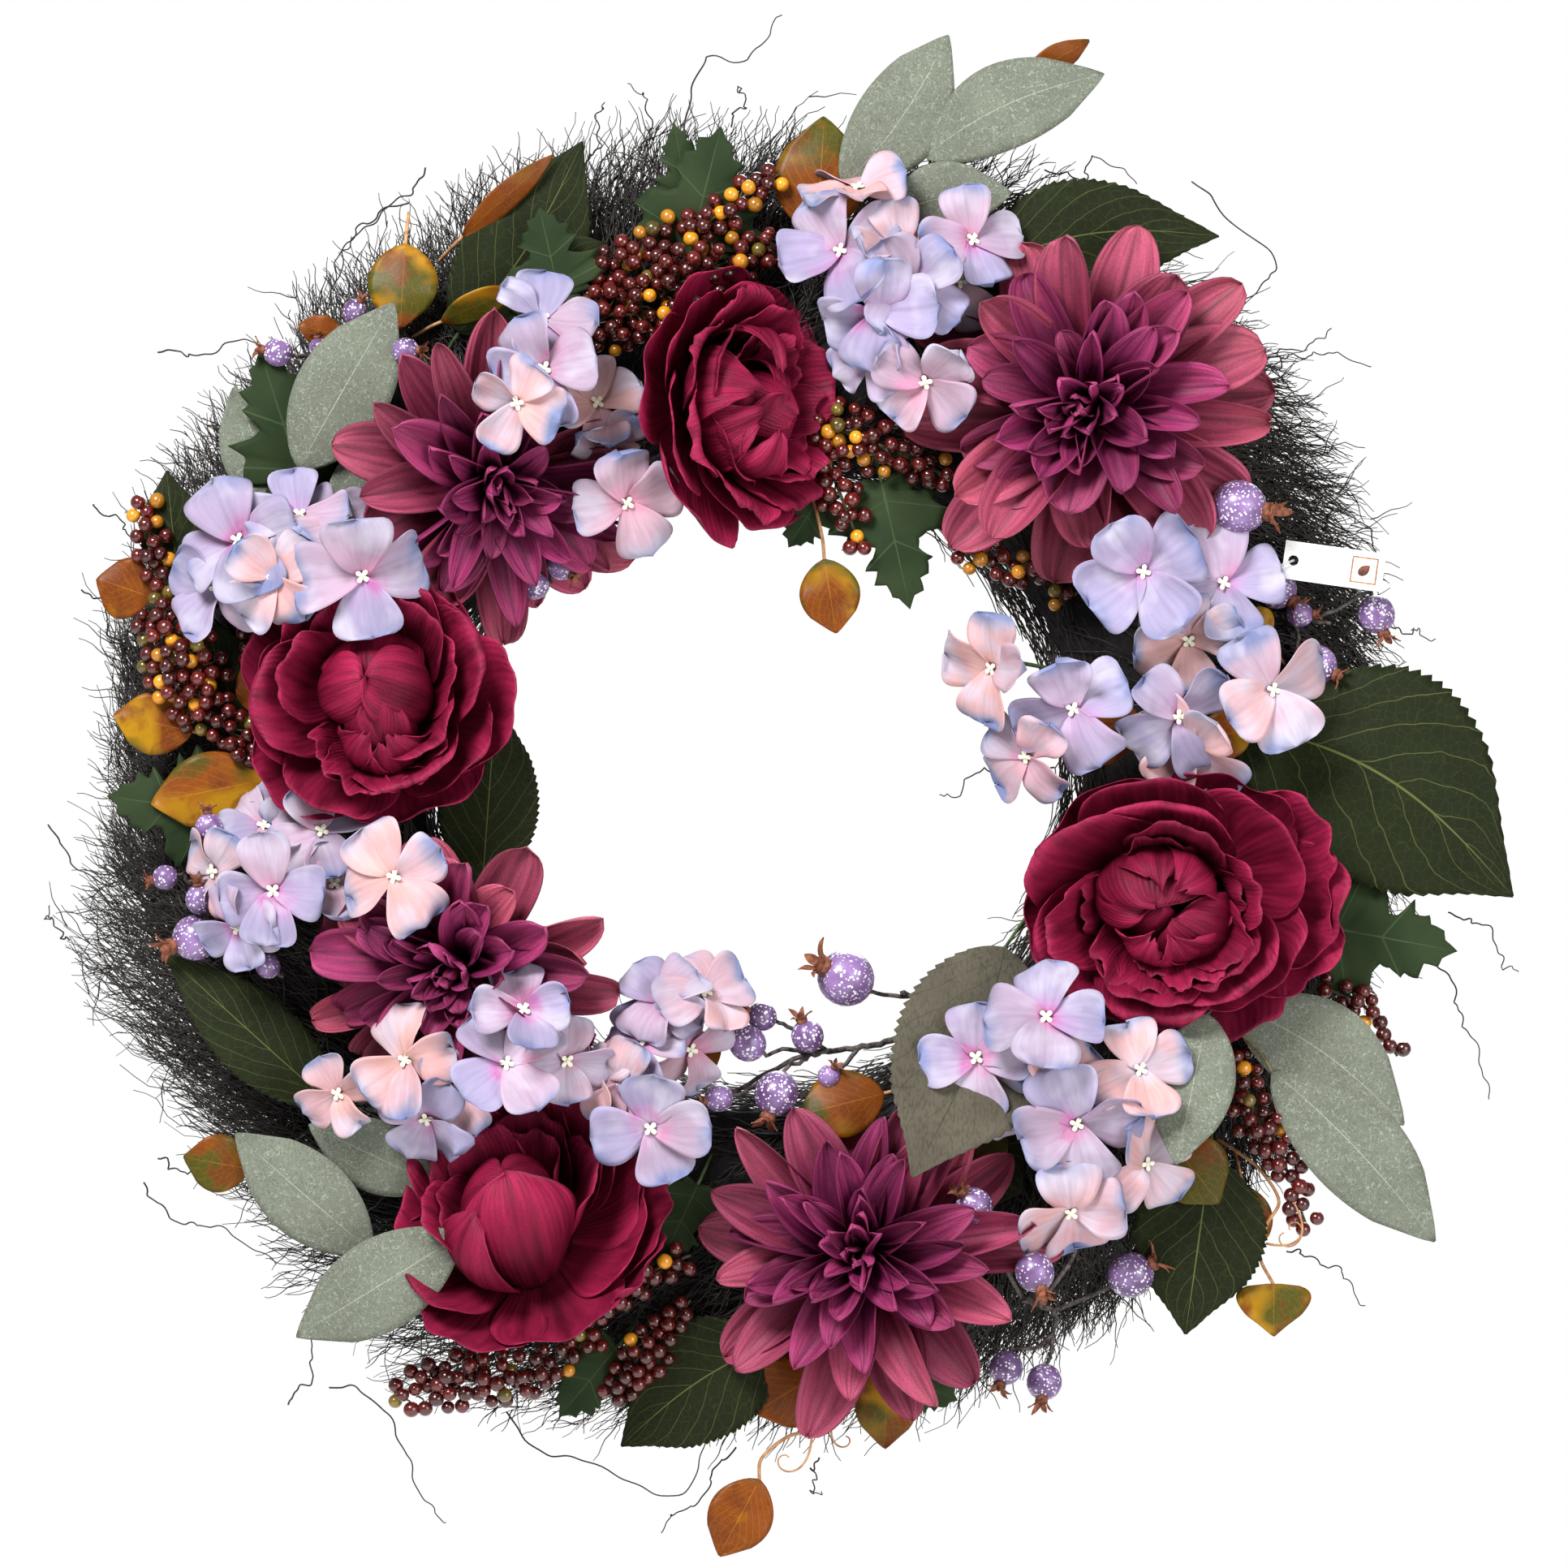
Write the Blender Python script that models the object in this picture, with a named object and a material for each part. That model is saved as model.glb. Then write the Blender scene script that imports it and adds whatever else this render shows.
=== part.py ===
"""Harvest door wreath: wire frame, four twig bundles tied to it, and wired flower, berry and leaf picks.

Metres, +Z up, the wreath hangs facing -Y. The origin is the seat of the hanging loop on its hook.
Inside the wreath's own frame (the "wreath" empty) X is right, Y is up and Z points away from the door.
"""

from math import cos, pi, radians, sin, sqrt

import bmesh
import bpy
from mathutils import Quaternion, Vector

# Clearances
GAP = 0.0003
HOLE_PLAY = 0.0006
EYE_PLAY = 0.0011
WELD = 0.00001

# Welded wire frame
FRAME_OUTER_R = 0.216
FRAME_INNER_R = 0.170
FRAME_WIRE_R = 0.0016
STRUT_WIRE_R = 0.0011
STRUT_COUNT = 6

# Hanging loop, hooked round the frame's outer ring
LOOP_WIRE_R = 0.0010
LOOP_HALF_WIDTH = 0.014
LOOP_HEIGHT = 0.038
EYE_R = FRAME_WIRE_R + EYE_PLAY + LOOP_WIRE_R
EYE_PITCH = 2.6 * LOOP_WIRE_R
FRAME_H = EYE_R + LOOP_WIRE_R + GAP

# Twig mat
MAT_MID_R = (FRAME_OUTER_R + FRAME_INNER_R) / 2
MAT_WIDTH = 0.122
MAT_THICKNESS = 0.039
MAT_BACK_H = FRAME_H + FRAME_WIRE_R + GAP
MAT_FRONT_H = MAT_BACK_H + MAT_THICKNESS
CROWN_POWER = 2.5
BUNDLE_COUNT = 4
BUNDLE_STEPS = 7
FIRST_SEAM = 38.2
SECTION_POINTS = 9

# Tie wires, one round each seam between two bundles
TIE_WIRE_R = 0.0008
TIE_CLEARANCE = 0.0007

# Picks
PEG_R = 0.0022
PEG_DEPTH = 0.020
CUP_R = 0.010
CUP_DEPTH = 0.009
LEAF_T = 0.0014
TWIG_R = 0.0013
TUBE_RESOLUTION = 1

# Paper tag and the plastic loop that holds it
TAG_LENGTH = 0.042
TAG_WIDTH = 0.016
TAG_T = 0.0005
TAG_HOLE_R = 0.0022
TAG_HOLE_INSET = 0.0042
FASTENER_R = 0.0005
FASTENER_ARM = 0.0022

AXIS_R = sqrt(FRAME_OUTER_R**2 - LOOP_HALF_WIDTH**2)
HOOK_SEAT_RISE = LOOP_HEIGHT - LOOP_WIRE_R

COLOURS = {
    "black_wire": ((0.02, 0.02, 0.02), 0.4, 0.9),
    "black_twig": ((0.012, 0.010, 0.010), 0.7, 0.0),
    "green_wire": ((0.03, 0.08, 0.03), 0.5, 0.6),
    "dahlia_fabric": ((0.30, 0.04, 0.11), 0.7, 0.0),
    "peony_fabric": ((0.24, 0.008, 0.04), 0.65, 0.0),
    "stem_plastic": ((0.05, 0.11, 0.03), 0.5, 0.0),
    "hydrangea_fabric": ((0.50, 0.45, 0.80), 0.7, 0.0),
    "berry_lacquer": ((0.10, 0.012, 0.008), 0.25, 0.0),
    "hip_lacquer": ((0.30, 0.20, 0.42), 0.35, 0.0),
    "broad_leaf_fabric": ((0.035, 0.06, 0.025), 0.6, 0.0),
    "sage_flock": ((0.26, 0.31, 0.26), 0.9, 0.0),
    "amber_leaf_fabric": ((0.48, 0.17, 0.01), 0.5, 0.0),
    "tag_card": ((0.9, 0.9, 0.88), 0.6, 0.0),
    "clear_nylon": ((0.8, 0.8, 0.8), 0.3, 0.0),
}


def material(slot):
    """The Principled material of a colour slot, made on first use."""
    if slot in bpy.data.materials:
        return bpy.data.materials[slot]
    colour, roughness, metallic = COLOURS[slot]
    made = bpy.data.materials.new(slot)
    made.use_nodes = True
    shader = made.node_tree.nodes["Principled BSDF"]
    shader.inputs["Base Color"].default_value = (*colour, 1)
    shader.inputs["Roughness"].default_value = roughness
    shader.inputs["Metallic"].default_value = metallic
    made.diffuse_color = (*colour, 1)
    return made


def empty(name, parent=None):
    made = bpy.data.objects.new(name, None)
    bpy.context.scene.collection.objects.link(made)
    made.parent = parent
    return made


def mesh_object(name, bm, slot, parent, collection=None):
    """An object from a bmesh, its faces turned outwards."""
    bmesh.ops.recalc_face_normals(bm, faces=bm.faces)
    mesh = bpy.data.meshes.new(name)
    bm.to_mesh(mesh)
    bm.free()
    mesh.shade_smooth()
    mesh.set_sharp_from_angle(angle=radians(40))
    made = bpy.data.objects.new(name, mesh)
    (collection or bpy.context.scene.collection).objects.link(made)
    made.parent = parent
    if slot:
        mesh.materials.append(material(slot))
    return made


def helper_collection(name):
    made = bpy.data.collections.new(name)
    bpy.context.scene.collection.children.link(made)
    return made


def hide(helper):
    helper.hide_render = True
    helper.display_type = "WIRE"
    return helper


def combine(base, operation, helpers):
    """One Boolean that joins the helper collection to the base, or cuts it away."""
    change = base.modifiers.new(operation.lower(), "BOOLEAN")
    change.operation = operation
    change.operand_type = "COLLECTION"
    change.collection = helpers
    return base


def turned_shape(profile, sides, stretch=(1, 1)):
    """A round solid: a profile of (radius, height) points, bottom to top, spun about Z."""
    bm = bmesh.new()
    verts = [bm.verts.new((radius, 0, height)) for radius, height in profile]
    edges = [bm.edges.new(pair) for pair in zip(verts, verts[1:])]
    bmesh.ops.spin(
        bm, geom=verts + edges, axis=(0, 0, 1), cent=(0, 0, 0), steps=sides, angle=2 * pi
    )
    bmesh.ops.remove_doubles(bm, verts=bm.verts, dist=WELD)
    bmesh.ops.scale(bm, verts=bm.verts, vec=(*stretch, 1))
    return bm


def tube_shape(points, radius, cyclic=False):
    """A tube along a polyline, with caps unless it is cyclic."""
    curve = bpy.data.curves.new("tube", "CURVE")
    curve.dimensions = "3D"
    curve.bevel_depth = radius
    curve.bevel_resolution = TUBE_RESOLUTION
    curve.use_fill_caps = True
    spline = curve.splines.new("POLY")
    spline.points.add(len(points) - 1)
    for slot, point in zip(spline.points, points):
        slot.co = (*point, 1)
    spline.use_cyclic_u = cyclic
    carrier = bpy.data.objects.new("tube", curve)
    bm = bmesh.new()
    bm.from_mesh(bpy.data.meshes.new_from_object(carrier))
    bpy.data.objects.remove(carrier)
    bmesh.ops.remove_doubles(bm, verts=bm.verts, dist=WELD)
    return bm


def plate_shape(outline, thickness):
    """A flat plate over a closed outline, from z = 0 up."""
    bm = bmesh.new()
    face = bm.faces.new([bm.verts.new((x, y, 0)) for x, y in outline])
    raised = bmesh.ops.extrude_face_region(bm, geom=[face], use_keep_orig=True)
    top = [part for part in raised["geom"] if isinstance(part, bmesh.types.BMVert)]
    bmesh.ops.translate(bm, verts=top, vec=(0, 0, thickness))
    return bm


def ball_shape(centre, radii, detail=2):
    bm = bmesh.new()
    ball = bmesh.ops.create_icosphere(bm, subdivisions=detail, radius=1)
    bmesh.ops.scale(bm, verts=ball["verts"], vec=radii)
    bmesh.ops.translate(bm, verts=ball["verts"], vec=centre)
    return bm


def leaf_outline(length, width, start=0.0, lobes=0, side_points=7):
    """Leaf edge from its stalk at x = start to its tip; lobes > 0 cuts notches between that many lobes."""
    side = []
    for step in range(1, side_points):
        along = step / side_points
        half = width / 2 * sin(pi * along**0.85) ** 0.8
        if lobes and step % 2 == 0:
            half *= 0.6
        side.append((start + length * along, half))
    lower = [(x, -y) for x, y in side]
    return [(start, 0), *lower, (start + length, 0), *reversed(side)]


def mat_front(radius):
    """Height of the mat's front face above the door at a distance from the wreath's centre."""
    across = min(abs(radius - MAT_MID_R) / (MAT_WIDTH / 2), 1)
    return MAT_BACK_H + MAT_THICKNESS * (1 - across**CROWN_POWER) ** (1 / CROWN_POWER)


def section(offset=0.0):
    """The mat's D-shaped section as (radius, height) points, inner edge to outer, grown by an offset."""
    points = []
    for step in range(SECTION_POINTS):
        turn = pi * step / (SECTION_POINTS - 1)
        side = -cos(turn)
        reach = abs(side) ** (2 / CROWN_POWER) * (1 if side >= 0 else -1)
        rise = sin(turn) ** (2 / CROWN_POWER) if 0 < step < SECTION_POINTS - 1 else 0
        points.append(
            (
                MAT_MID_R + (MAT_WIDTH / 2 + offset) * reach,
                MAT_BACK_H + (MAT_THICKNESS + offset) * rise,
            )
        )
    return points


def plant(wreath, holes, name, plan, peg_r=PEG_R):
    """A pick's empty at its place on the mat, and the hole its peg goes into. Local Z points outwards.

    plan: angle and spin in degrees, out = distance outwards from the middle of the mat, rise = height
    above the mat's crown, tilt = degrees leaned towards the direction lean.
    """
    radius = MAT_MID_R + plan["out"]
    angle = radians(plan["angle"])
    height = MAT_FRONT_H + plan["rise"]
    at = empty(name + "_place", wreath)
    at.location = (radius * cos(angle), radius * sin(angle), height)
    tilt, lean = radians(plan.get("tilt", 0)), radians(plan.get("lean", 0))
    outward = Vector((sin(tilt) * cos(lean), sin(tilt) * sin(lean), cos(tilt)))
    turn = Quaternion((0, 0, 1), radians(plan.get("spin", 0)))
    at.rotation_mode = "QUATERNION"
    at.rotation_quaternion = Vector((0, 0, 1)).rotation_difference(outward) @ turn
    depth = height - mat_front(radius) + PEG_DEPTH
    hole = [
        (0, -depth - GAP),
        (peg_r + HOLE_PLAY, -depth - GAP),
        (peg_r + HOLE_PLAY, PEG_DEPTH),
        (0, PEG_DEPTH),
    ]
    hide(mesh_object(name + "_hole", turned_shape(hole, 8), None, at, holes))
    return at, depth


def frame_ring(name, radius, sides, parent, collection=None):
    bm = bmesh.new()
    circle = bmesh.ops.create_circle(bm, segments=6, radius=FRAME_WIRE_R)
    bmesh.ops.rotate(
        bm, verts=circle["verts"], matrix=Quaternion((1, 0, 0), pi / 2).to_matrix()
    )
    bmesh.ops.translate(bm, verts=circle["verts"], vec=(radius, 0, FRAME_H))
    bmesh.ops.spin(
        bm, geom=bm.verts[:] + bm.edges[:], axis=(0, 0, 1), cent=(0, 0, 0), steps=sides, angle=2 * pi
    )
    bmesh.ops.remove_doubles(bm, verts=bm.verts, dist=WELD)
    return mesh_object(name, bm, "black_wire", parent, collection)


def wire_frame(wreath):
    """Two rings and the struts welded between them."""
    welded = helper_collection("frame_welds")
    frame = frame_ring("wire_frame", FRAME_OUTER_R, 48, wreath)
    hide(frame_ring("inner_ring", FRAME_INNER_R, 36, wreath, welded))
    for number in range(STRUT_COUNT):
        angle = 2 * pi * number / STRUT_COUNT
        ends = [
            Vector((radius * cos(angle), radius * sin(angle), FRAME_H))
            for radius in (FRAME_INNER_R, FRAME_OUTER_R)
        ]
        strut = tube_shape(ends, STRUT_WIRE_R)
        hide(mesh_object(f"strut_{number + 1}", strut, None, wreath, welded))
    return combine(frame, "UNION", welded)


def twig_bundle(name, first, last, wreath, holes):
    """One arc of the twig mat: its section spun from one seam to the next, then drilled for the picks."""
    bm = bmesh.new()
    play = GAP / MAT_MID_R
    start = radians(first) + play
    sweep = radians(last) - radians(first) - 2 * play
    corners = [bm.verts.new((radius * cos(start), radius * sin(start), height)) for radius, height in section()]
    edges = [bm.edges.new(pair) for pair in zip(corners, corners[1:] + corners[:1])]
    bmesh.ops.spin(
        bm, geom=corners + edges, axis=(0, 0, 1), cent=(0, 0, 0), steps=BUNDLE_STEPS, angle=sweep
    )
    bmesh.ops.holes_fill(bm, edges=bm.edges, sides=0)
    return combine(mesh_object(name, bm, "black_twig", wreath), "DIFFERENCE", holes)


def tie_wire(name, angle, wreath):
    """A wire loop round the frame and the mat at one seam."""
    turn = radians(angle)
    front = section(TIE_CLEARANCE + TIE_WIRE_R)
    back = FRAME_H - FRAME_WIRE_R - GAP - TIE_WIRE_R
    path = [(front[0][0], back), *front, (front[-1][0], back)]
    points = [(radius * cos(turn), radius * sin(turn), height) for radius, height in path]
    return mesh_object(name, tube_shape(points, TIE_WIRE_R, cyclic=True), "green_wire", wreath)


def loop_path():
    """Wire of the hanging loop about its hinge axis: one turn of an eye, up, over and down to the other."""
    turns, arch = 12, 10
    eye = [
        (
            LOOP_HALF_WIDTH + EYE_PITCH * (1 - step / turns),
            EYE_R * sin(2 * pi * step / turns + pi / turns),
            -EYE_R * cos(2 * pi * step / turns + pi / turns),
        )
        for step in range(turns)
    ]
    eye.append((LOOP_HALF_WIDTH, EYE_R * sin(pi / turns), -EYE_R * cos(pi / turns)))
    eye.append((LOOP_HALF_WIDTH, EYE_R, -EYE_R))
    top = LOOP_HEIGHT - LOOP_HALF_WIDTH
    bow = [
        (LOOP_HALF_WIDTH * cos(pi * step / arch), top + LOOP_HALF_WIDTH * sin(pi * step / arch), -EYE_R)
        for step in range(arch + 1)
    ]
    other = [(-x, y, z) for x, y, z in reversed(eye)]
    return eye + bow + other


def hanging_loop(wreath, holes):
    """The wire loop on its hinge axis, and the pocket in the mat's back that its eyes turn in."""
    axis = empty("loop_axis", wreath)
    axis.location = (0, AXIS_R, FRAME_H)
    mesh_object("hanging_loop", tube_shape(loop_path(), LOOP_WIRE_R), "black_wire", axis)
    reach = EYE_R + LOOP_WIRE_R + GAP
    half = LOOP_HALF_WIDTH + EYE_PITCH + LOOP_WIRE_R + 2 * GAP
    below = 4 * EYE_R
    bm = bmesh.new()
    bmesh.ops.create_cube(bm, size=1)
    bmesh.ops.scale(bm, verts=bm.verts, vec=(2 * half, reach + EYE_PITCH + below, 2 * reach))
    bmesh.ops.translate(bm, verts=bm.verts, vec=(0, (reach + EYE_PITCH - below) / 2, 0))
    hide(mesh_object("loop_pocket", bm, None, axis, holes))


def flower(kind, number, plan, wreath, holes):
    """A fabric head on its moulded stem. The stem's cup ends just under the head."""
    name = f"{kind}_{number}"
    at, depth = plant(wreath, holes, name, plan)
    across, tall, deep = plan["size"]
    narrow = min(across, tall)
    shapes = {
        "dahlia": [(0, 0), (0.009, 0), (0.55, 0.18), (1, 0.42), (0.97, 0.54), (0.6, 0.82), (0.28, 1), (0, 0.9)],
        "peony": [(0, 0), (0.009, 0), (0.72, 0.2), (1, 0.5), (0.9, 0.8), (0.5, 1), (0, 0.86)],
    }
    profile = [(radius if radius < 0.01 else radius * narrow, height * deep) for radius, height in shapes[kind]]
    head = turned_shape(profile, 12, (across / narrow, tall / narrow))
    mesh_object(name + "_petals", head, kind + "_fabric", at)
    stem = [
        (0, -depth),
        (PEG_R, -depth),
        (PEG_R, -CUP_DEPTH - GAP),
        (CUP_R * 0.75, -CUP_DEPTH * 0.6),
        (CUP_R, -GAP),
        (0, -GAP),
    ]
    mesh_object(name + "_stem", turned_shape(stem, 8), "stem_plastic", at)


def hydrangea(number, plan, wreath, holes):
    """A cluster of florets as one dome on its stem."""
    name = f"hydrangea_{number}"
    at, depth = plant(wreath, holes, name, plan)
    radius, deep = plan["size"]
    profile = [
        (0, -depth),
        (PEG_R, -depth),
        (PEG_R, 0),
        (radius * 0.6, deep * 0.15),
        (radius, deep * 0.5),
        (radius * 0.75, deep * 0.9),
        (0, deep),
    ]
    mesh_object(name, turned_shape(profile, 9), "hydrangea_fabric", at)


def spray(name, plan, slot, bodies, wreath, holes):
    """A pick made of one peg and several shapes that grow into it."""
    at, depth = plant(wreath, holes, name, plan)
    joined = helper_collection(name + "_joined")
    for number, body in enumerate(bodies):
        hide(mesh_object(f"{name}_body_{number + 1}", body, slot, at, joined))
    peg = [(0, -depth), (PEG_R, -depth), (PEG_R, LEAF_T / 2), (0, LEAF_T / 2)]
    return combine(mesh_object(name, turned_shape(peg, 8), slot, at), "UNION", joined)


def berry_spray(number, plan, wreath, holes):
    """A long lump of berries lying along local X."""
    along, across, deep = plan["size"]
    lump = ball_shape((plan["shift"], 0, deep * 0.75), (along, across, deep))
    spray(f"berry_spray_{number}", plan, "berry_lacquer", [lump], wreath, holes)


def rosehip_spray(number, plan, wreath, holes):
    """Speckled hips on twigs that branch from the peg."""
    bodies = []
    for x, y, z, radius in plan["hips"]:
        centre = Vector((x, y, z))
        bodies.append(tube_shape([Vector((0, 0, -TWIG_R / 3)), centre], TWIG_R))
        bodies.append(ball_shape(centre, (radius,) * 3))
    spray(f"rosehip_spray_{number}", plan, "hip_lacquer", bodies, wreath, holes)


def leaf_pick(name, slot, plan, wreath, holes):
    """One or more flat blades that fan out from a peg: (direction, length, width) each."""
    bodies = []
    for direction, length, width in plan["blades"]:
        blade = plate_shape(
            leaf_outline(length + PEG_R, width, -PEG_R, plan.get("lobes", 0)), LEAF_T
        )
        turn = Quaternion((0, 0, 1), radians(direction)).to_matrix()
        bmesh.ops.rotate(blade, verts=blade.verts, matrix=turn)
        bodies.append(blade)
    spray(name, plan, slot, bodies, wreath, holes)


def dangling_leaf(number, plan, wreath, holes):
    """A curly tendril with one leaf at its end."""
    length, width = plan["leaf"]
    tendril = [Vector(point) for point in plan["tendril"]]
    blade = plate_shape(leaf_outline(length, width, -TWIG_R), LEAF_T)
    turn = Quaternion((0, 0, 1), radians(plan["leaf_turn"])).to_matrix()
    bmesh.ops.rotate(blade, verts=blade.verts, matrix=turn)
    bmesh.ops.translate(blade, verts=blade.verts, vec=tendril[-1] - Vector((0, 0, LEAF_T / 2)))
    bodies = [tube_shape([Vector((0, 0, 0)), *tendril], TWIG_R), blade]
    spray(f"dangling_leaf_{number}", plan, "amber_leaf_fabric", bodies, wreath, holes)


def tag(wreath, holes):
    """The paper tag on its hinge axis, and the plastic loop from its hole into the mat."""
    angle, radius, height = radians(22.1), MAT_MID_R + 0.0492, MAT_FRONT_H + 0.020
    axis = empty("tag_axis", wreath)
    axis.location = (radius * cos(angle), radius * sin(angle), height)
    axis.rotation_euler = (0, 0, radians(-8))
    card = [
        (-TAG_HOLE_INSET, -TAG_WIDTH / 2),
        (TAG_LENGTH - TAG_HOLE_INSET, -TAG_WIDTH / 2),
        (TAG_LENGTH - TAG_HOLE_INSET, TAG_WIDTH / 2),
        (-TAG_HOLE_INSET, TAG_WIDTH / 2),
    ]
    punched = helper_collection("tag_punch")
    hole = [(0, -TAG_T), (TAG_HOLE_R, -TAG_T), (TAG_HOLE_R, 2 * TAG_T), (0, 2 * TAG_T)]
    hide(mesh_object("tag_hole", turned_shape(hole, 10), None, axis, punched))
    card_object = mesh_object("tag_card", plate_shape(card, TAG_T), "tag_card", axis)
    combine(card_object, "DIFFERENCE", punched)
    holder = empty("tag_fastener_place", wreath)
    holder.location = axis.location
    holder.rotation_euler = (0, 0, angle)
    arm, middle = FASTENER_ARM, TAG_T / 2
    seat_x = -0.018
    seat_z = mat_front(radius + seat_x) - height
    path = [
        (0, 0, middle - arm),
        (0, 0, middle + arm),
        (seat_x + arm, 0, middle + arm),
        (seat_x - arm, 0, middle - arm),
        (seat_x - arm, 0, seat_z - PEG_DEPTH / 2),
        (seat_x + arm, 0, seat_z - PEG_DEPTH / 2),
        (seat_x + arm, 0, middle - 2 * arm),
        (seat_x + 2 * arm, 0, middle - arm),
    ]
    mesh_object("tag_fastener", tube_shape(path, FASTENER_R, cyclic=True), "clear_nylon", holder)
    well_r = arm + FASTENER_R + HOLE_PLAY
    bottom = seat_z - PEG_DEPTH / 2 - FASTENER_R - GAP
    well = turned_shape([(0, bottom), (well_r, bottom), (well_r, PEG_DEPTH), (0, PEG_DEPTH)], 10)
    bmesh.ops.translate(well, verts=well.verts, vec=(seat_x, 0, 0))
    hide(mesh_object("fastener_well", well, None, holder, holes))


# Where each pick stands. size: dahlia and peony (half width, half height, depth); hydrangea (radius, depth).
DAHLIAS = [
    {"angle": 48.3, "out": 0.0165, "rise": 0.014, "tilt": 5, "lean": 200, "size": (0.076, 0.066, 0.046)},
    {"angle": 132.4, "out": -0.0226, "rise": 0.014, "tilt": 16, "lean": 330, "size": (0.047, 0.056, 0.046)},
    {"angle": 209.3, "out": -0.0487, "rise": 0.014, "tilt": 14, "lean": 170, "size": (0.058, 0.043, 0.044)},
    {"angle": 283.1, "out": 0.0137, "rise": 0.014, "tilt": 8, "lean": 160, "size": (0.072, 0.060, 0.046)},
]
PEONIES = [
    {"angle": 94.4, "out": -0.0378, "rise": 0.014, "tilt": 18, "lean": 350, "size": (0.044, 0.048, 0.050)},
    {"angle": 169.1, "out": -0.0344, "rise": 0.014, "tilt": 6, "lean": 200, "size": (0.051, 0.047, 0.052)},
    {"angle": 243.4, "out": 0.0161, "rise": 0.014, "tilt": 16, "lean": 80, "size": (0.046, 0.052, 0.052)},
    {"angle": 344.3, "out": -0.0111, "rise": 0.014, "tilt": 6, "lean": 240, "size": (0.066, 0.054, 0.056)},
]
HYDRANGEAS = [
    {"angle": 77.5, "out": 0.023, "rise": 0.012, "size": (0.026, 0.030)},
    {"angle": 110.0, "out": 0.006, "rise": 0.014, "size": (0.015, 0.034)},
    {"angle": 152.5, "out": 0.026, "rise": 0.012, "size": (0.024, 0.030)},
    {"angle": 190.5, "out": 0.008, "rise": 0.012, "size": (0.016, 0.030)},
    {"angle": 224.5, "out": -0.006, "rise": 0.012, "size": (0.017, 0.030)},
    {"angle": 258.0, "out": -0.046, "rise": 0.012, "size": (0.019, 0.030)},
    {"angle": 18.4, "out": -0.012, "rise": 0.012, "size": (0.034, 0.030)},
    {"angle": 313.5, "out": -0.015, "rise": 0.012, "size": (0.036, 0.030)},
]
# size: half length, half width, half depth of the berries; shift: their middle along the spray.
BERRIES = [
    {"angle": 97.0, "out": 0.031, "rise": 0.006, "spin": 28, "shift": 0.0, "size": (0.046, 0.020, 0.010)},
    {"angle": 66.0, "out": -0.046, "rise": 0.006, "spin": 0, "shift": -0.004, "size": (0.021, 0.017, 0.008)},
    {"angle": 172.0, "out": 0.043, "rise": 0.006, "spin": 112, "shift": 0.0, "size": (0.052, 0.018, 0.010)},
    {"angle": 257.0, "out": 0.049, "rise": 0.004, "spin": 198, "shift": 0.018, "size": (0.052, 0.012, 0.009)},
    {"angle": 326.0, "out": 0.046, "rise": 0.006, "spin": 295, "shift": 0.006, "size": (0.036, 0.012, 0.009)},
]
# hips: x, y, z and radius of each, about the peg.
HIPS = [
    {"angle": 131.5, "out": 0.050, "rise": 0.004, "hips": [(-0.030, -0.004, 0.009, 0.007), (-0.006, 0.013, 0.010, 0.007), (0.016, -0.003, 0.010, 0.007)]},
    {"angle": 199.5, "out": 0.047, "rise": 0.004, "hips": [(-0.004, 0.008, 0.012, 0.011), (-0.014, 0.026, 0.008, 0.006), (0.018, -0.006, 0.008, 0.006)]},
    {"angle": 276.5, "out": -0.052, "rise": 0.003, "hips": [(-0.006, -0.002, 0.010, 0.009), (0.018, 0.038, 0.014, 0.011), (-0.014, 0.020, 0.012, 0.0065), (0.006, 0.016, 0.010, 0.006)]},
    {"angle": 303.0, "out": 0.049, "rise": 0.004, "hips": [(-0.022, -0.024, 0.006, 0.007), (-0.006, -0.030, 0.008, 0.007), (0.026, 0.004, 0.012, 0.009)]},
    {"angle": 16.5, "out": 0.047, "rise": 0.003, "hips": [(-0.013, 0.012, 0.007, 0.007), (0.029, 0.001, 0.007, 0.0065), (0.0045, -0.020, 0.007, 0.008)]},
]
# blades: direction, length and width of each.
BROAD_LEAVES = [
    {"angle": 63.0, "out": 0.047, "rise": 0.0045, "tilt": 0, "blades": [(-4, 0.082, 0.056)]},
    {"angle": 0.5, "out": 0.036, "rise": 0.0045, "tilt": 0, "blades": [(-30, 0.104, 0.088)]},
    {"angle": 322.0, "out": -0.046, "rise": 0.0030, "tilt": 0, "blades": [(205, 0.062, 0.060)]},
    {"angle": 269.0, "out": 0.040, "rise": 0.0004, "tilt": 0, "blades": [(226, 0.060, 0.056)]},
    {"angle": 313.0, "out": 0.048, "rise": 0.0052, "tilt": 0, "blades": [(295, 0.052, 0.044)]},
    {"angle": 214.0, "out": 0.038, "rise": 0.0030, "tilt": 0, "blades": [(132, 0.058, 0.030)]},
]
SAGE_SPRAYS = [
    {"angle": 75.0, "out": 0.048, "rise": 0.0045, "blades": [(78, 0.072, 0.044), (38, 0.090, 0.036), (2, 0.040, 0.022)]},
    {"angle": 146.0, "out": 0.044, "rise": 0.0045, "blades": [(64, 0.048, 0.028), (152, 0.040, 0.034)]},
    {"angle": 231.0, "out": 0.030, "rise": 0.0045, "blades": [(160, 0.058, 0.034), (208, 0.056, 0.032)]},
    {"angle": 333.0, "out": 0.040, "rise": 0.0015, "blades": [(308, 0.098, 0.040), (214, 0.036, 0.022)]},
]
LOBED_LEAF = {"angle": 347.0, "out": 0.046, "rise": 0.003, "lobes": 1, "blades": [(-24, 0.064, 0.052)]}
AMBER_LEAF = {"angle": 161.0, "out": 0.049, "rise": 0.003, "blades": [(172, 0.050, 0.036)]}
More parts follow.
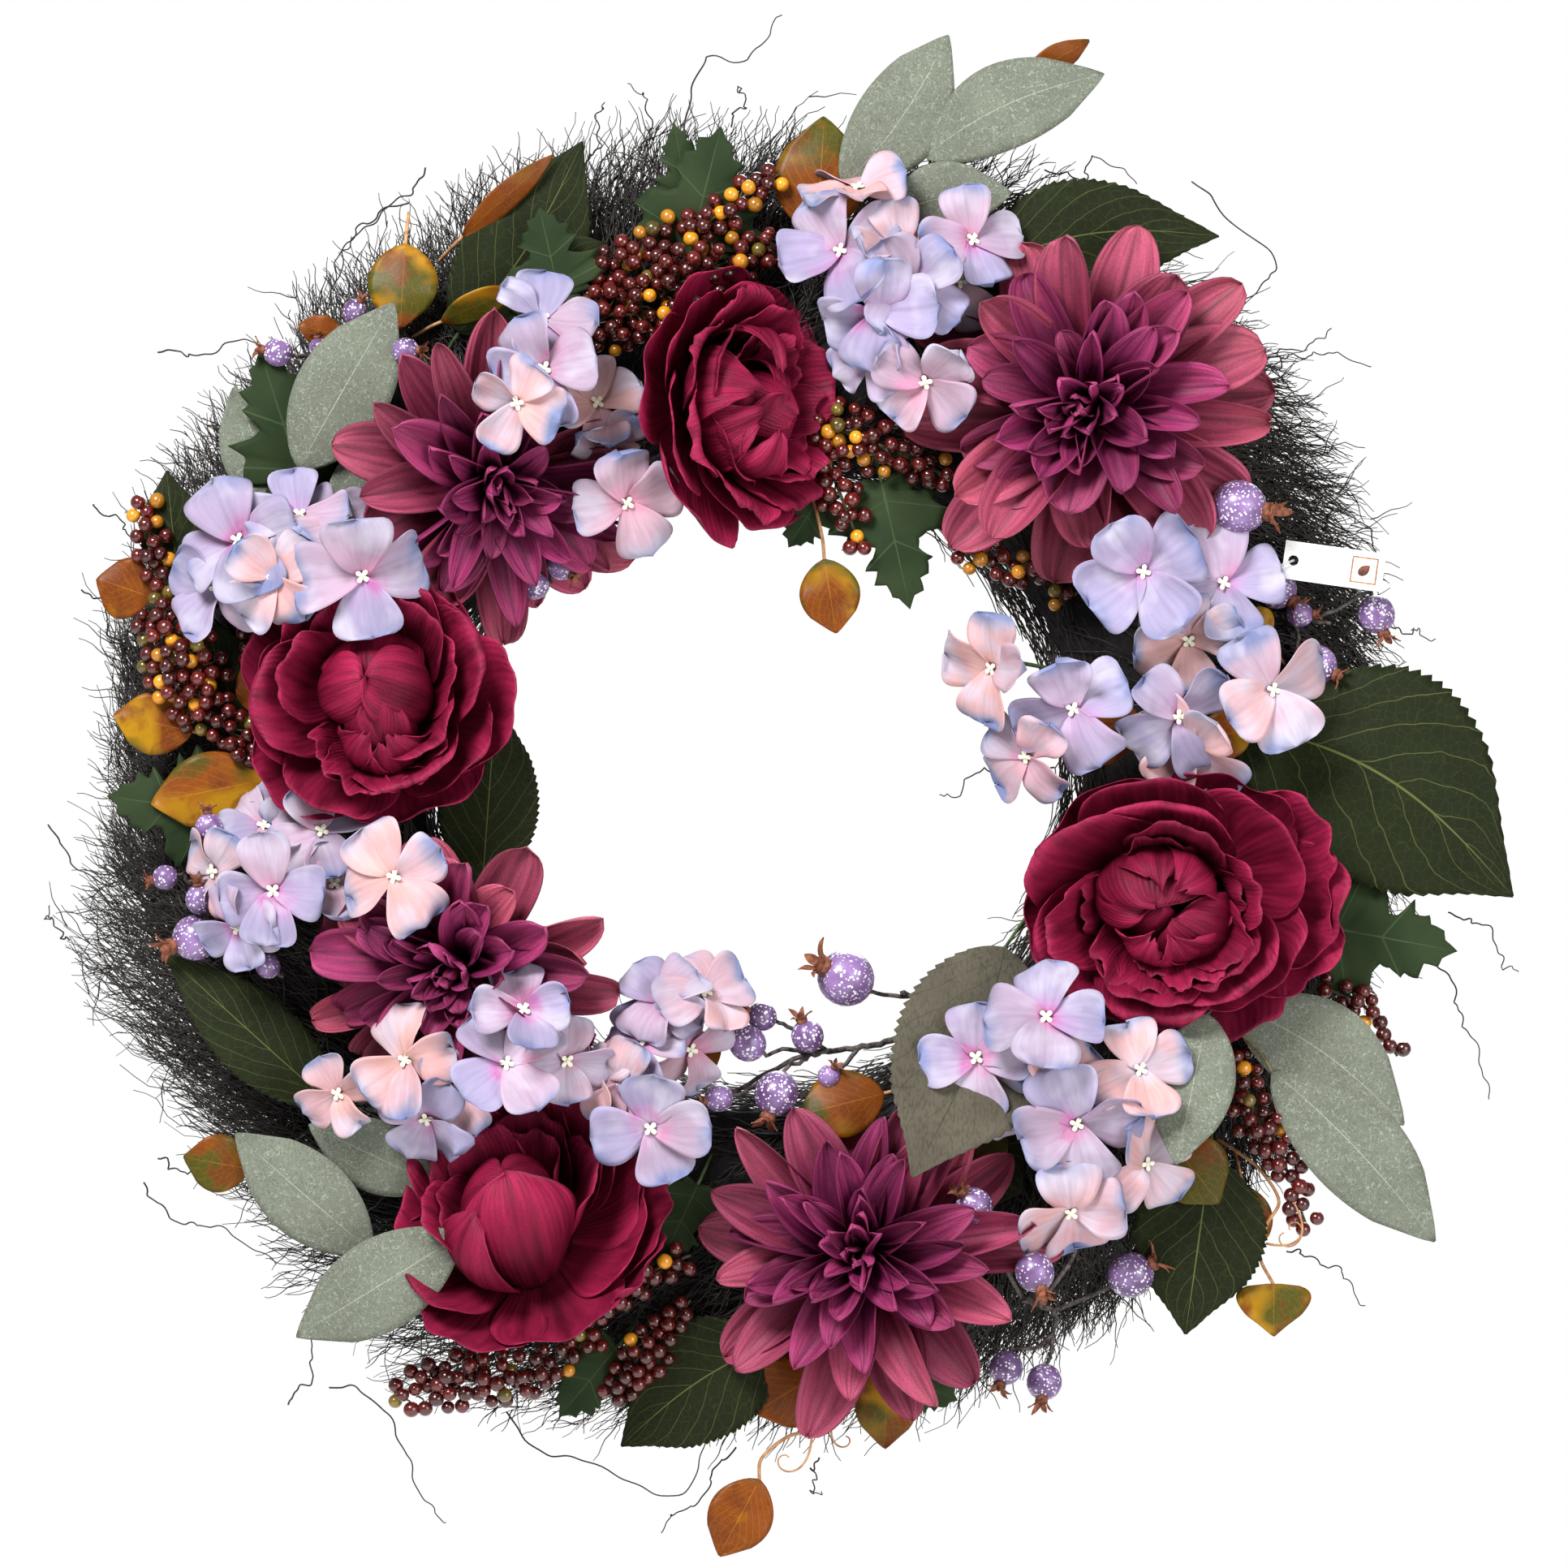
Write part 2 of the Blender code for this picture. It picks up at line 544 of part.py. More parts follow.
# tendril: the points its stalk follows from the peg; leaf: length and width.
DANGLING_LEAVES = [
    {
        "angle": 276.8,
        "out": 0.049,
        "rise": 0.002,
        "tendril": [(-0.002, -0.020, 0.002), (-0.014, -0.030, 0.001), (-0.024, -0.044, 0.002), (-0.024, -0.052, 0.002)],
        "leaf": (0.034, 0.027),
        "leaf_turn": 265,
    },
    {
        "angle": 319.0,
        "out": 0.049,
        "rise": 0.002,
        "tendril": [(0.014, -0.014, 0.001), (0.018, -0.028, 0.001), (0.020, -0.040, 0.001)],
        "leaf": (0.026, 0.026),
        "leaf_turn": 272,
    },
]


def build():
    for left in list(bpy.data.objects):
        bpy.data.objects.remove(left)
    wreath = empty("wreath")
    wreath.location = (0, FRAME_H - EYE_R, -(AXIS_R + HOOK_SEAT_RISE))
    wreath.rotation_euler = (pi / 2, 0, 0)
    holes = helper_collection("holes")

    wire_frame(wreath)
    span = 360 / BUNDLE_COUNT
    for number in range(BUNDLE_COUNT):
        seam = FIRST_SEAM + span * number
        twig_bundle(f"twig_bundle_{number + 1}", seam, seam + span, wreath, holes)
        tie_wire(f"tie_wire_{number + 1}", seam, wreath)
    hanging_loop(wreath, holes)

    for kind, plans in (("dahlia", DAHLIAS), ("peony", PEONIES)):
        for number, plan in enumerate(plans, 1):
            flower(kind, number, plan, wreath, holes)
    for builder, plans in (
        (hydrangea, HYDRANGEAS),
        (berry_spray, BERRIES),
        (rosehip_spray, HIPS),
        (dangling_leaf, DANGLING_LEAVES),
    ):
        for number, plan in enumerate(plans, 1):
            builder(number, plan, wreath, holes)
    for stem, slot, plans in (
        ("broad_leaf", "broad_leaf_fabric", BROAD_LEAVES),
        ("sage_spray", "sage_flock", SAGE_SPRAYS),
        ("lobed_leaf", "broad_leaf_fabric", [LOBED_LEAF]),
        ("amber_leaf", "amber_leaf_fabric", [AMBER_LEAF]),
    ):
        for number, plan in enumerate(plans, 1):
            leaf_pick(f"{stem}_{number}", slot, plan, wreath, holes)
    tag(wreath, holes)


build()
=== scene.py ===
import math

import bmesh
import bpy
import numpy as np
from mathutils import Matrix, Vector


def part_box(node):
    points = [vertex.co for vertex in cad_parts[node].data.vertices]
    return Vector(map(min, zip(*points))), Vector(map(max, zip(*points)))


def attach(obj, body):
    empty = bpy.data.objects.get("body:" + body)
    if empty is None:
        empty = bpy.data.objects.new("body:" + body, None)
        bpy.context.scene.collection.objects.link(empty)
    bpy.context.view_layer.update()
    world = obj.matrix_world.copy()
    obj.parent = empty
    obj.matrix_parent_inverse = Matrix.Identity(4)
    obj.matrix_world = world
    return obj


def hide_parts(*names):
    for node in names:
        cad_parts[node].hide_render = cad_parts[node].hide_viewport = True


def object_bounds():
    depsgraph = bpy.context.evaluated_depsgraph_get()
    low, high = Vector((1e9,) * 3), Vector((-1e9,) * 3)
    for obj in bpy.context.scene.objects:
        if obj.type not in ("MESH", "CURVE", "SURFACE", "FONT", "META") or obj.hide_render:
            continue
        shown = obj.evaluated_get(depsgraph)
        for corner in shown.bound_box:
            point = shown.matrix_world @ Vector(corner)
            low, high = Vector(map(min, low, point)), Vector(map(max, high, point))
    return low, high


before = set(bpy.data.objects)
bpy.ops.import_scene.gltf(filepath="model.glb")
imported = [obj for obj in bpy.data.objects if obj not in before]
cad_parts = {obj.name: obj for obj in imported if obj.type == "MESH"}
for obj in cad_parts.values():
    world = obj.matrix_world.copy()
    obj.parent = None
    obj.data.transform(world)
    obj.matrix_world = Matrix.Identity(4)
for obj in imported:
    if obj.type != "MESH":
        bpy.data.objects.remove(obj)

cadLow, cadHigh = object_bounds()
ringLow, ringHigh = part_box("wire_frame")
wreathMiddle = (ringLow + ringHigh) / 2
matLow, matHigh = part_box("twig_bundle_1")
matFront = matLow.y  # the mat's crown, where lift 0 is
matDepth = (matHigh.y - matLow.y) * 1000


# Everything is laid out in millimetres on the wreath: x right, y up, z = lift in front of the mat's crown.


def newBasket():
    return {"points": [], "faces": [], "grow": [], "tint": [], "skins": [], "count": 0}


def spread(basket, points, faces, grow, tint, skin):
    points = np.asarray(points, float).reshape(-1, 3)
    basket["faces"] += (np.asarray(faces) + basket["count"]).tolist()
    basket["points"].append(points)
    basket["grow"].append(np.broadcast_to(grow, points.shape).reshape(-1, 3))
    basket["tint"].append(np.broadcast_to(tint, len(points)))
    basket["skins"].append(np.full(len(faces), skin))
    basket["count"] += len(points)


def addSheet(basket, grid, grow, tint=0.5, skin=0):
    rows, cols = grid.shape[:2]
    index = np.arange(rows * cols).reshape(rows, cols)
    quads = np.stack([index[:-1, :-1], index[1:, :-1], index[1:, 1:], index[:-1, 1:]], -1)
    spread(basket, grid, quads.reshape(-1, 4), np.reshape(grow, (-1, 3)), tint, skin)


def ballTemplate(detail):
    ball = bmesh.new()
    bmesh.ops.create_icosphere(ball, subdivisions=detail, radius=1)
    points = np.array([v.co[:] for v in ball.verts])
    faces = [[v.index for v in f.verts] for f in ball.faces]
    ball.free()
    return points, faces


smallBall = ballTemplate(2)
roundBall = ballTemplate(3)


def addBall(
    basket, centre, radius, tint=0.5, kind=0.0, skin=0, shape=roundBall, turn=None, stretch=(1, 1, 1)
):
    points = shape[0] * stretch * radius
    if turn is not None:
        points = points @ np.array(turn).T
    grow = np.stack([shape[0][:, 0], shape[0][:, 2] * 0.5 + 0.5, np.full(len(points), kind)], -1)
    spread(basket, points + centre, shape[1], grow, tint, skin)


def tubes(basket, paths, thick, sides=5, taper=0.5, tint=0.5, skin=0):
    paths = np.asarray(paths, float)
    if paths.ndim == 2:
        paths = paths[None]
    count, steps = paths.shape[:2]
    along = np.gradient(paths, axis=1)
    along /= np.linalg.norm(along, axis=2, keepdims=True) + 1e-9
    side = np.cross(along, (0.31, 0.17, 0.94))
    side /= np.linalg.norm(side, axis=2, keepdims=True) + 1e-9
    other = np.cross(along, side)
    turn = np.arange(sides) * 2 * math.pi / sides
    girth = np.broadcast_to(thick, (count,))[:, None] * np.linspace(1, taper, steps)[None]
    across, up = np.cos(turn)[None, None, :, None], np.sin(turn)[None, None, :, None]
    ring = across * side[:, :, None] + up * other[:, :, None]
    points = paths[:, :, None] + ring * girth[:, :, None, None]
    index = np.arange(count * steps * sides).reshape(count, steps, sides)
    after = np.roll(index, -1, axis=2)
    quads = np.stack([index[:, :-1], after[:, :-1], after[:, 1:], index[:, 1:]], -1).reshape(-1, 4)
    grow = np.zeros((count, steps, sides, 3))
    grow[..., 1] = np.linspace(0, 1, steps)[None, :, None]
    tints = np.repeat(np.broadcast_to(tint, (count,)), steps * sides)
    spread(basket, points, quads, grow.reshape(-1, 3), tints, skin)
    ends = np.concatenate([index[:, 0, ::-1], index[:, -1]]) + basket["count"] - count * steps * sides
    basket["faces"] += ends.tolist()
    basket["skins"].append(np.full(len(ends), skin))


def smoothPath(points, steps=24):
    points = np.asarray(points, float)
    keys = np.vstack([2 * points[0] - points[1], points, 2 * points[-1] - points[-2]])
    out = []
    for t in np.linspace(0, len(points) - 1 - 1e-6, steps):
        k = int(t)
        f = t - k
        a, b, c, d = keys[k : k + 4]
        square, cube = 2 * a - 5 * b + 4 * c - d, 3 * b - a - 3 * c + d
        out.append(0.5 * (2 * b + (c - a) * f + square * f**2 + cube * f**3))
    return np.array(out)


def makePiece(name, basket, skins, stands=(), thick=0.0, body="wreath"):
    points = np.concatenate(basket["points"]) * 0.001
    right, up, lift = points.T
    placed = np.stack([wreathMiddle.x + right, matFront - lift, wreathMiddle.z + up], -1)
    mesh = bpy.data.meshes.new(name)
    mesh.from_pydata(placed.tolist(), [], basket["faces"])
    mesh.polygons.foreach_set("material_index", np.concatenate(basket["skins"]).astype(np.int32))
    mesh.polygons.foreach_set("use_smooth", np.ones(len(mesh.polygons), bool))
    grow = mesh.attributes.new("grow", "FLOAT_VECTOR", "POINT")
    grow.data.foreach_set("vector", np.concatenate(basket["grow"]).astype(np.float32).ravel())
    tint = mesh.attributes.new("tint", "FLOAT", "POINT")
    tint.data.foreach_set("value", np.concatenate(basket["tint"]).astype(np.float32))
    for skin in skins:
        mesh.materials.append(skin)
    mesh.update()
    piece = bpy.data.objects.new(name, mesh)
    bpy.context.scene.collection.objects.link(piece)
    if thick:
        shell = piece.modifiers.new("clothThickness", "SOLIDIFY")
        shell.thickness = thick * 0.001
        shell.offset = -1
    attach(piece, body)
    if stands:
        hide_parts(*stands)
    return piece


def facing(tilt=0, lean=0, spin=0):
    tilt, lean, spin = map(math.radians, (tilt, lean, spin))
    out = Vector((math.sin(tilt) * math.cos(lean), math.sin(tilt) * math.sin(lean), math.cos(tilt)))
    swing = Vector((0, 0, 1)).rotation_difference(out).to_matrix()
    return np.array(swing @ Matrix.Rotation(spin, 3, "Z"))


def about(angle, axis="Z"):
    return np.array(Matrix.Rotation(math.radians(angle), 3, axis))


socketNames = {
    "colour": "Base Color",
    "rough": "Roughness",
    "gloss": "Specular IOR Level",
    "coat": "Coat Weight",
    "coatRough": "Coat Roughness",
    "through": "Transmission Weight",
}


def newSkin(name, **sockets):
    skin = bpy.data.materials.new(name)
    skin.use_nodes = True
    shader = skin.node_tree.nodes["Principled BSDF"]
    for socket, value in sockets.items():
        shader.inputs[socketNames[socket]].default_value = value
    return skin


def knot(skin, kind, inputs=None, **settings):
    made = skin.node_tree.nodes.new("ShaderNode" + kind)
    for name, value in settings.items():
        setattr(made, name, value)
    for name, value in (inputs or {}).items():
        if isinstance(value, bpy.types.NodeSocket):
            skin.node_tree.links.new(value, made.inputs[name])
        else:
            made.inputs[name].default_value = value
    return made


def sums(skin, operation, first, second=0.0, third=0.0):
    return knot(skin, "Math", {0: first, 1: second, 2: third}, operation=operation).outputs[0]


def growth(skin):
    grow = knot(skin, "Attribute", attribute_name="grow")
    split = knot(skin, "SeparateXYZ", {"Vector": grow.outputs["Vector"]})
    tint = knot(skin, "Attribute", attribute_name="tint")
    return split.outputs["X"], split.outputs["Y"], split.outputs["Z"], tint.outputs["Fac"]


def shades(skin, factor, *stops):
    ramp = knot(skin, "ValToRGB", {"Fac": factor})
    marks = ramp.color_ramp.elements
    while len(marks) < len(stops):
        marks.new(0.5)
    for mark, (position, colour) in zip(marks, stops):
        mark.position = position
        mark.color = (*colour, 1)
    return ramp.outputs["Color"]


def greys(skin, factor, *stops):
    return shades(skin, factor, *[(position, (grey,) * 3) for position, grey in stops])


def blendOf(skin, factor, first, second, blend="MIX"):
    mix = knot(skin, "Mix", data_type="RGBA", blend_type=blend)
    for place, value in ((0, factor), (6, first), (7, second)):
        if isinstance(value, bpy.types.NodeSocket):
            skin.node_tree.links.new(value, mix.inputs[place])
        elif place:
            mix.inputs[place].default_value = (*value, 1)
        else:
            mix.inputs[place].default_value = value
    return mix.outputs[2]


def deepened(skin, base, factor, *stops):
    return blendOf(skin, 1.0, base, greys(skin, factor, *stops), "MULTIPLY")


# Mixes a colour over the base by a mask: real stains and mottling, and on the berries a painted highlight.
def stainsAndHighlights(skin, base, factor, first, last, colour):
    return blendOf(skin, greys(skin, factor, first, last), base, colour)


def specks(skin, size, detail=2.0, stretch=(1, 1, 1), vector=None):
    if vector is None:
        vector = knot(skin, "TexCoord").outputs["Object"]
    scaled = knot(skin, "VectorMath", {0: vector, 1: stretch}, operation="MULTIPLY").outputs[0]
    return knot(skin, "TexNoise", {"Vector": scaled, "Scale": size, "Detail": detail}).outputs["Fac"]


def cells(skin, size, feature="DISTANCE_TO_EDGE"):
    place = knot(skin, "TexCoord").outputs["Object"]
    return knot(skin, "TexVoronoi", {"Vector": place, "Scale": size}, feature=feature).outputs["Distance"]


def streaks(skin, across, along, tint, stretch, size, detail):
    across, shift = sums(skin, "MULTIPLY", across, stretch), sums(skin, "MULTIPLY", tint, 9)
    where = knot(skin, "CombineXYZ", {"X": across, "Y": along, "Z": shift})
    return specks(skin, size, detail, vector=where.outputs[0])


# Plugs colour, roughness and bumps into the shader; on petals and berries the colour holds painted shade and
# highlights.
def dressSkin(skin, colour=None, rough=None, bumps=()):
    shader = skin.node_tree.nodes["Principled BSDF"]
    links = skin.node_tree.links
    if colour is not None:
        links.new(colour, shader.inputs["Base Color"])
    if rough is not None:
        links.new(rough, shader.inputs["Roughness"])
    last = None
    for height, distance, strength in bumps:
        bump = knot(skin, "Bump", {"Height": height, "Distance": distance * 0.001, "Strength": strength})
        if last is not None:
            links.new(last, bump.inputs["Normal"])
        last = bump.outputs["Normal"]
    if last is not None:
        links.new(last, shader.inputs["Normal"])
    return skin


# The dark roots of these ramps are painted shade where the petals crowd together.
petalTones = {  # colours from root to tip, outside rings first, then the plum ones
    "dahlia": {
        "outer": (
            (0.0, (0.05, 0.003, 0.014)), (0.3, (0.17, 0.014, 0.040)),
            (0.7, (0.34, 0.058, 0.105)), (1.0, (0.41, 0.085, 0.130)),
        ),
        "inner": (
            (0.0, (0.030, 0.001, 0.014)), (0.35, (0.115, 0.007, 0.045)),
            (0.75, (0.25, 0.025, 0.100)), (1.0, (0.31, 0.040, 0.135)),
        ),
        "streak": 2.6, "ribs": 30, "gloss": 0.18,
    },
    "peony": {
        "outer": (
            (0.0, (0.04, 0.001, 0.006)), (0.45, (0.15, 0.004, 0.024)),
            (0.85, (0.25, 0.010, 0.046)), (1.0, (0.29, 0.016, 0.060)),
        ),
        # The peony's inner ramp is its outer one darkened: painted shade deep inside the bowl.
        "inner": (
            (0.0, (0.018, 0.000, 0.003)), (0.5, (0.10, 0.002, 0.015)),
            (0.9, (0.19, 0.006, 0.034)), (1.0, (0.23, 0.012, 0.048)),
        ),
        "streak": 3.0, "ribs": 70, "gloss": 0.12,
    },
}
# Across each petal from midrib to edge: painted crease shade along the midrib, a painted highlight band near
# the edge, then darker at the very edge.
rimShadeAndHighlight = ((0.0, 0.66), (0.13, 1.0), (0.80, 1.08), (0.93, 1.22), (0.97, 0.85), (1.0, 0.6))  # midrib to edge


def petalCloth(name, outer, inner, streak, ribs, gloss):
    skin = newSkin(name, rough=0.55, gloss=gloss)
    across, along, layer, tint = growth(skin)
    # the root-to-tip ramps darken each petal's root: painted shade where the petals crowd together
    base = blendOf(skin, layer, shades(skin, along, *outer), shades(skin, along, *inner))
    lines = streaks(skin, across, along, tint, streak, 2.2, 3.0)
    weave = specks(skin, 1900, 1.0)
    base = deepened(skin, base, lines, (0.3, 0.62), (0.7, 1.28))
    base = deepened(skin, base, tint, (0.0, 0.62), (1.0, 1.15))
    base = deepened(skin, base, weave, (0.35, 0.84), (0.65, 1.15))
    # painted midrib shade and edge highlight across each petal
    base = deepened(skin, base, sums(skin, "ABSOLUTE", across), *rimShadeAndHighlight)
    ribbing = sums(skin, "SINE", sums(skin, "MULTIPLY", across, ribs))
    rough = greys(skin, lines, (0.3, 0.45), (0.7, 0.65))
    return dressSkin(skin, base, rough, ((ribbing, 0.16, 0.4), (lines, 0.8, 0.45), (weave, 0.15, 0.5)))


dahliaSkin = petalCloth("dahliaSatin", **petalTones["dahlia"])
peonySkin = petalCloth("peonySatin", **petalTones["peony"])

floretTones = {  # lilac and peach from the eye to the rim, then the pale clouds on both
    "lilac": (
        (0.0, (0.56, 0.20, 0.46)), (0.12, (0.47, 0.31, 0.53)), (0.30, (0.40, 0.34, 0.52)),
        (0.75, (0.365, 0.335, 0.51)), (1.0, (0.25, 0.275, 0.49)),
    ),
    "peach": (
        (0.0, (0.78, 0.45, 0.42)), (0.45, (0.78, 0.44, 0.44)), (0.68, (0.70, 0.45, 0.48)),
        (0.84, (0.42, 0.37, 0.48)), (0.97, (0.22, 0.26, 0.46)),
    ),
    "pale": (0.62, 0.57, 0.69),
    "drift": 1.3,
}


def floretCloth():
    skin = newSkin("floretSilk", rough=0.7, gloss=0.15)
    across, along, peach, tint = growth(skin)
    cloud = specks(skin, 55, 2.0)
    blush = sums(skin, "SUBTRACT", specks(skin, 40, 2.0, (1, 1.3, 0.8)), 0.5)
    drift = sums(skin, "ADD", along, sums(skin, "MULTIPLY", blush, floretTones["drift"]))
    lilac = shades(skin, drift, *floretTones["lilac"])
    base = blendOf(skin, peach, lilac, shades(skin, drift, *floretTones["peach"]))
    base = stainsAndHighlights(skin, base, cloud, (0.48, 0.0), (0.66, 0.7), floretTones["pale"])
    lines = streaks(skin, across, along, tint, 3.0, 2.0, 2.0)
    base = deepened(skin, base, lines, (0.3, 0.90), (0.7, 1.05))
    base = deepened(skin, base, tint, (0.0, 0.71), (1.0, 0.93))
    base = deepened(skin, base, sums(skin, "ABSOLUTE", across), (0.0, 0.90), (0.10, 1.0))
    return dressSkin(skin, base, None, ((lines, 0.6, 0.35), (specks(skin, 2200, 1.0), 0.08, 0.4)))


floretSkin = floretCloth()
creamSkin = dressSkin(newSkin("floretEye", colour=(0.85, 0.84, 0.66, 1), rough=0.5))

veins = {  # blade and vein colours, then how many side veins, their slant and width, and the finish
    "broad": {
        "blade": (0.011, 0.015, 0.005), "vein": (0.12, 0.135, 0.040),
        "count": 7, "slant": 0.42, "width": 0.0035, "rough": 0.6, "gloss": 0.09,
    },
    "paleBack": {
        "blade": (0.085, 0.076, 0.056), "vein": (0.045, 0.042, 0.028),
        "count": 7, "slant": 0.42, "width": 0.003, "rough": 0.85, "gloss": 0.1,
    },
    "sage": {
        "blade": (0.145, 0.158, 0.122), "vein": (0.40, 0.42, 0.34),
        "count": 6, "slant": 0.5, "width": 0.002, "rough": 0.95, "gloss": 0.1,
    },
    "amber": {
        "blade": (0.16, 0.038, 0.003), "vein": (0.34, 0.14, 0.012),
        "count": 7, "slant": 0.6, "width": 0.005, "rough": 0.4, "gloss": 0.18,
    },
}


def veined(name, blade, vein, count, slant, width, rough, gloss):
    skin = newSkin(name, rough=rough, gloss=gloss)
    across, along, _, tint = growth(skin)
    away = sums(skin, "ABSOLUTE", across)
    wobble = sums(skin, "MULTIPLY", sums(skin, "SUBTRACT", specks(skin, 55, 2.0), 0.5), 0.10)
    spot = sums(skin, "ADD", sums(skin, "SUBTRACT", along, sums(skin, "MULTIPLY", away, slant)), wobble)
    turns = sums(skin, "FRACT", sums(skin, "MULTIPLY", spot, count))
    nearest = sums(skin, "ABSOLUTE", sums(skin, "SUBTRACT", turns, 0.5))
    side = greys(skin, nearest, (0.0, 1.0), (width * count, 0.0))
    rib = greys(skin, away, (0.0, 0.9), (0.007, 0.8), (0.015, 0.0))
    lines = sums(skin, "MAXIMUM", sums(skin, "MULTIPLY", side, 0.7), rib)
    base = shades(skin, specks(skin, 40, 4.0), (0.35, blade), (0.65, tuple(c * 1.3 for c in blade)))
    base = deepened(skin, base, tint, (0.0, 0.75), (1.0, 1.2))
    return skin, blendOf(skin, lines, base, vein), lines, specks(skin, 1500, 2.0)


def broadLeafCloth():
    skin, base, lines, weave = veined("broadLeafCloth", **veins["broad"])
    base = stainsAndHighlights(skin, base, cells(skin, 230.0), (0.0, 0.30), (0.04, 0.0), (0.050, 0.062, 0.018))
    return dressSkin(skin, base, None, ((lines, 0.5, -0.5), (weave, 0.12, 0.4)))


def lobedLeafCloth():
    skin = newSkin("lobedLeafCloth", rough=0.65, gloss=0.08)
    across, _, ribs, tint = growth(skin)
    middle = greys(skin, sums(skin, "ABSOLUTE", across), (0.0, 0.9), (0.02, 0.5), (0.035, 0.0))
    lines = sums(skin, "MAXIMUM", middle, greys(skin, ribs, (0.86, 0.0), (0.96, 0.7)))
    base = shades(skin, specks(skin, 40, 4.0), (0.35, (0.018, 0.032, 0.013)), (0.65, (0.028, 0.044, 0.018)))
    base = deepened(skin, base, tint, (0.0, 0.75), (1.0, 1.25))
    base = blendOf(skin, lines, base, (0.055, 0.085, 0.035))
    return dressSkin(skin, base, None, ((lines, 0.5, -0.5), (specks(skin, 1500, 2.0), 0.15, 0.5)))


def paleBackCloth():
    skin, base, lines, weave = veined("leafBackCloth", **veins["paleBack"])
    thread = specks(skin, 900, 2.0, (1, 1, 0.4))
    base = stainsAndHighlights(skin, base, thread, (0.35, 0.6), (0.55, 0.0), (0.045, 0.040, 0.028))
    base = stainsAndHighlights(skin, base, specks(skin, 60, 3.0), (0.4, 0.0), (0.7, 0.5), (0.115, 0.100, 0.075))
    return dressSkin(skin, base, None, ((lines, 0.5, 0.5), (weave, 0.2, 0.5)))


def sageCloth():
    skin, base, lines, _ = veined("sageFlock", **veins["sage"])
    fibre = sums(skin, "ABSOLUTE", sums(skin, "SUBTRACT", specks(skin, 300, 2.0), 0.5))
    more = sums(skin, "ABSOLUTE", sums(skin, "SUBTRACT", specks(skin, 480, 2.0, (1.3, 1, 0.8)), 0.5))
    hair = greys(skin, sums(skin, "MINIMUM", fibre, more), (0.0, 0.75), (0.022, 0.0))
    base = blendOf(skin, hair, base, (0.38, 0.41, 0.35))
    base = stainsAndHighlights(skin, base, specks(skin, 1100, 2.0), (0.3, 0.55), (0.5, 0.0), (0.085, 0.10, 0.07))
    return dressSkin(skin, base, None, ((hair, 0.25, 0.7), (lines, 0.3, 0.4)))


amberStains = [  # yellow, green and rust: speck size, detail and stretch, from where to where, colour
    (26, 2.0, (1, 1, 1), (0.52, 0.0), (0.62, 0.95), (0.36, 0.18, 0.004)),
    (21, 3.0, (1, 1, 1.3), (0.50, 0.0), (0.58, 0.95), (0.050, 0.058, 0.006)),
    (70, 3.0, (1.2, 1, 1), (0.52, 0.0), (0.64, 0.8), (0.13, 0.028, 0.004)),
]


def amberCloth():
    skin, base, lines, weave = veined("amberLeafCloth", **veins["amber"])
    for size, detail, stretch, first, last, colour in amberStains:
        base = stainsAndHighlights(skin, base, specks(skin, size, detail, stretch), first, last, colour)
    base = stainsAndHighlights(skin, base, cells(skin, 300.0), (0.0, 0.30), (0.06, 0.0), (0.28, 0.10, 0.008))
    base = blendOf(skin, sums(skin, "MULTIPLY", lines, 0.5), base, (0.38, 0.16, 0.020))
    return dressSkin(skin, base, None, ((lines, 0.4, -0.5), (weave, 0.1, 0.3)))


broadSkin = broadLeafCloth()
lobedSkin = lobedLeafCloth()
paleSkin = paleBackCloth()
sageSkin = sageCloth()
amberSkin = amberCloth()

berryTones = (  # burgundy, mustard and olive, picked by each berry's kind
    (0.0, (0.080, 0.004, 0.003)), (0.4, (0.080, 0.004, 0.003)), (0.5, (0.62, 0.24, 0.008)),
    (0.8, (0.62, 0.24, 0.008)), (1.0, (0.15, 0.10, 0.010)),
)


def berryLacquer():
    skin = newSkin("berryLacquer", rough=0.22, coat=0.7, coatRough=0.08, gloss=0.55)
    kind, tint = growth(skin)[2:]
    base = deepened(skin, shades(skin, kind, *berryTones), tint, (0.0, 0.45), (1.0, 1.4))
    # Specks of painted highlight, a lighter red on the lacquer; the same specks also vary roughness and bump.
    highlightSpecks = specks(skin, 700, 2.0)
    base = stainsAndHighlights(skin, base, highlightSpecks, (0.60, 0.0), (0.75, 0.3), (0.22, 0.05, 0.035))
    return dressSkin(skin, base, greys(skin, highlightSpecks, (0.4, 0.16), (0.7, 0.40)), ((highlightSpecks, 0.15, 0.4),))


def hipLacquer():
    skin = newSkin("hipLacquer", rough=0.35, coat=0.3, coatRough=0.2, gloss=0.5)
    tint = growth(skin)[3]
    base = shades(skin, specks(skin, 90, 3.0), (0.35, (0.10, 0.045, 0.14)), (0.65, (0.26, 0.155, 0.36)))
    base = deepened(skin, base, tint, (0.0, 0.75), (1.0, 1.25))
    here = sums(skin, "MULTIPLY", specks(skin, 260, 2.0), 0.62)
    mask = sums(skin, "LESS_THAN", cells(skin, 650.0, "F1"), here)
    return dressSkin(skin, blendOf(skin, mask, base, (0.78, 0.74, 0.82)), None, ((mask, 0.12, 0.5),))


berrySkin = berryLacquer()
hipSkin = hipLacquer()


def plainCloth(name, dark, light, size, rough=0.7, gloss=0.4, bump=0.3):
    skin = newSkin(name, rough=rough, gloss=gloss)
    tint = growth(skin)[3]
    grain = specks(skin, size, 3.0)
    base = shades(skin, grain, (0.35, dark), (0.65, light))
    return dressSkin(skin, deepened(skin, base, tint, (0.0, 0.6), (1.0, 1.4)), None, ((grain, bump, 0.5),))


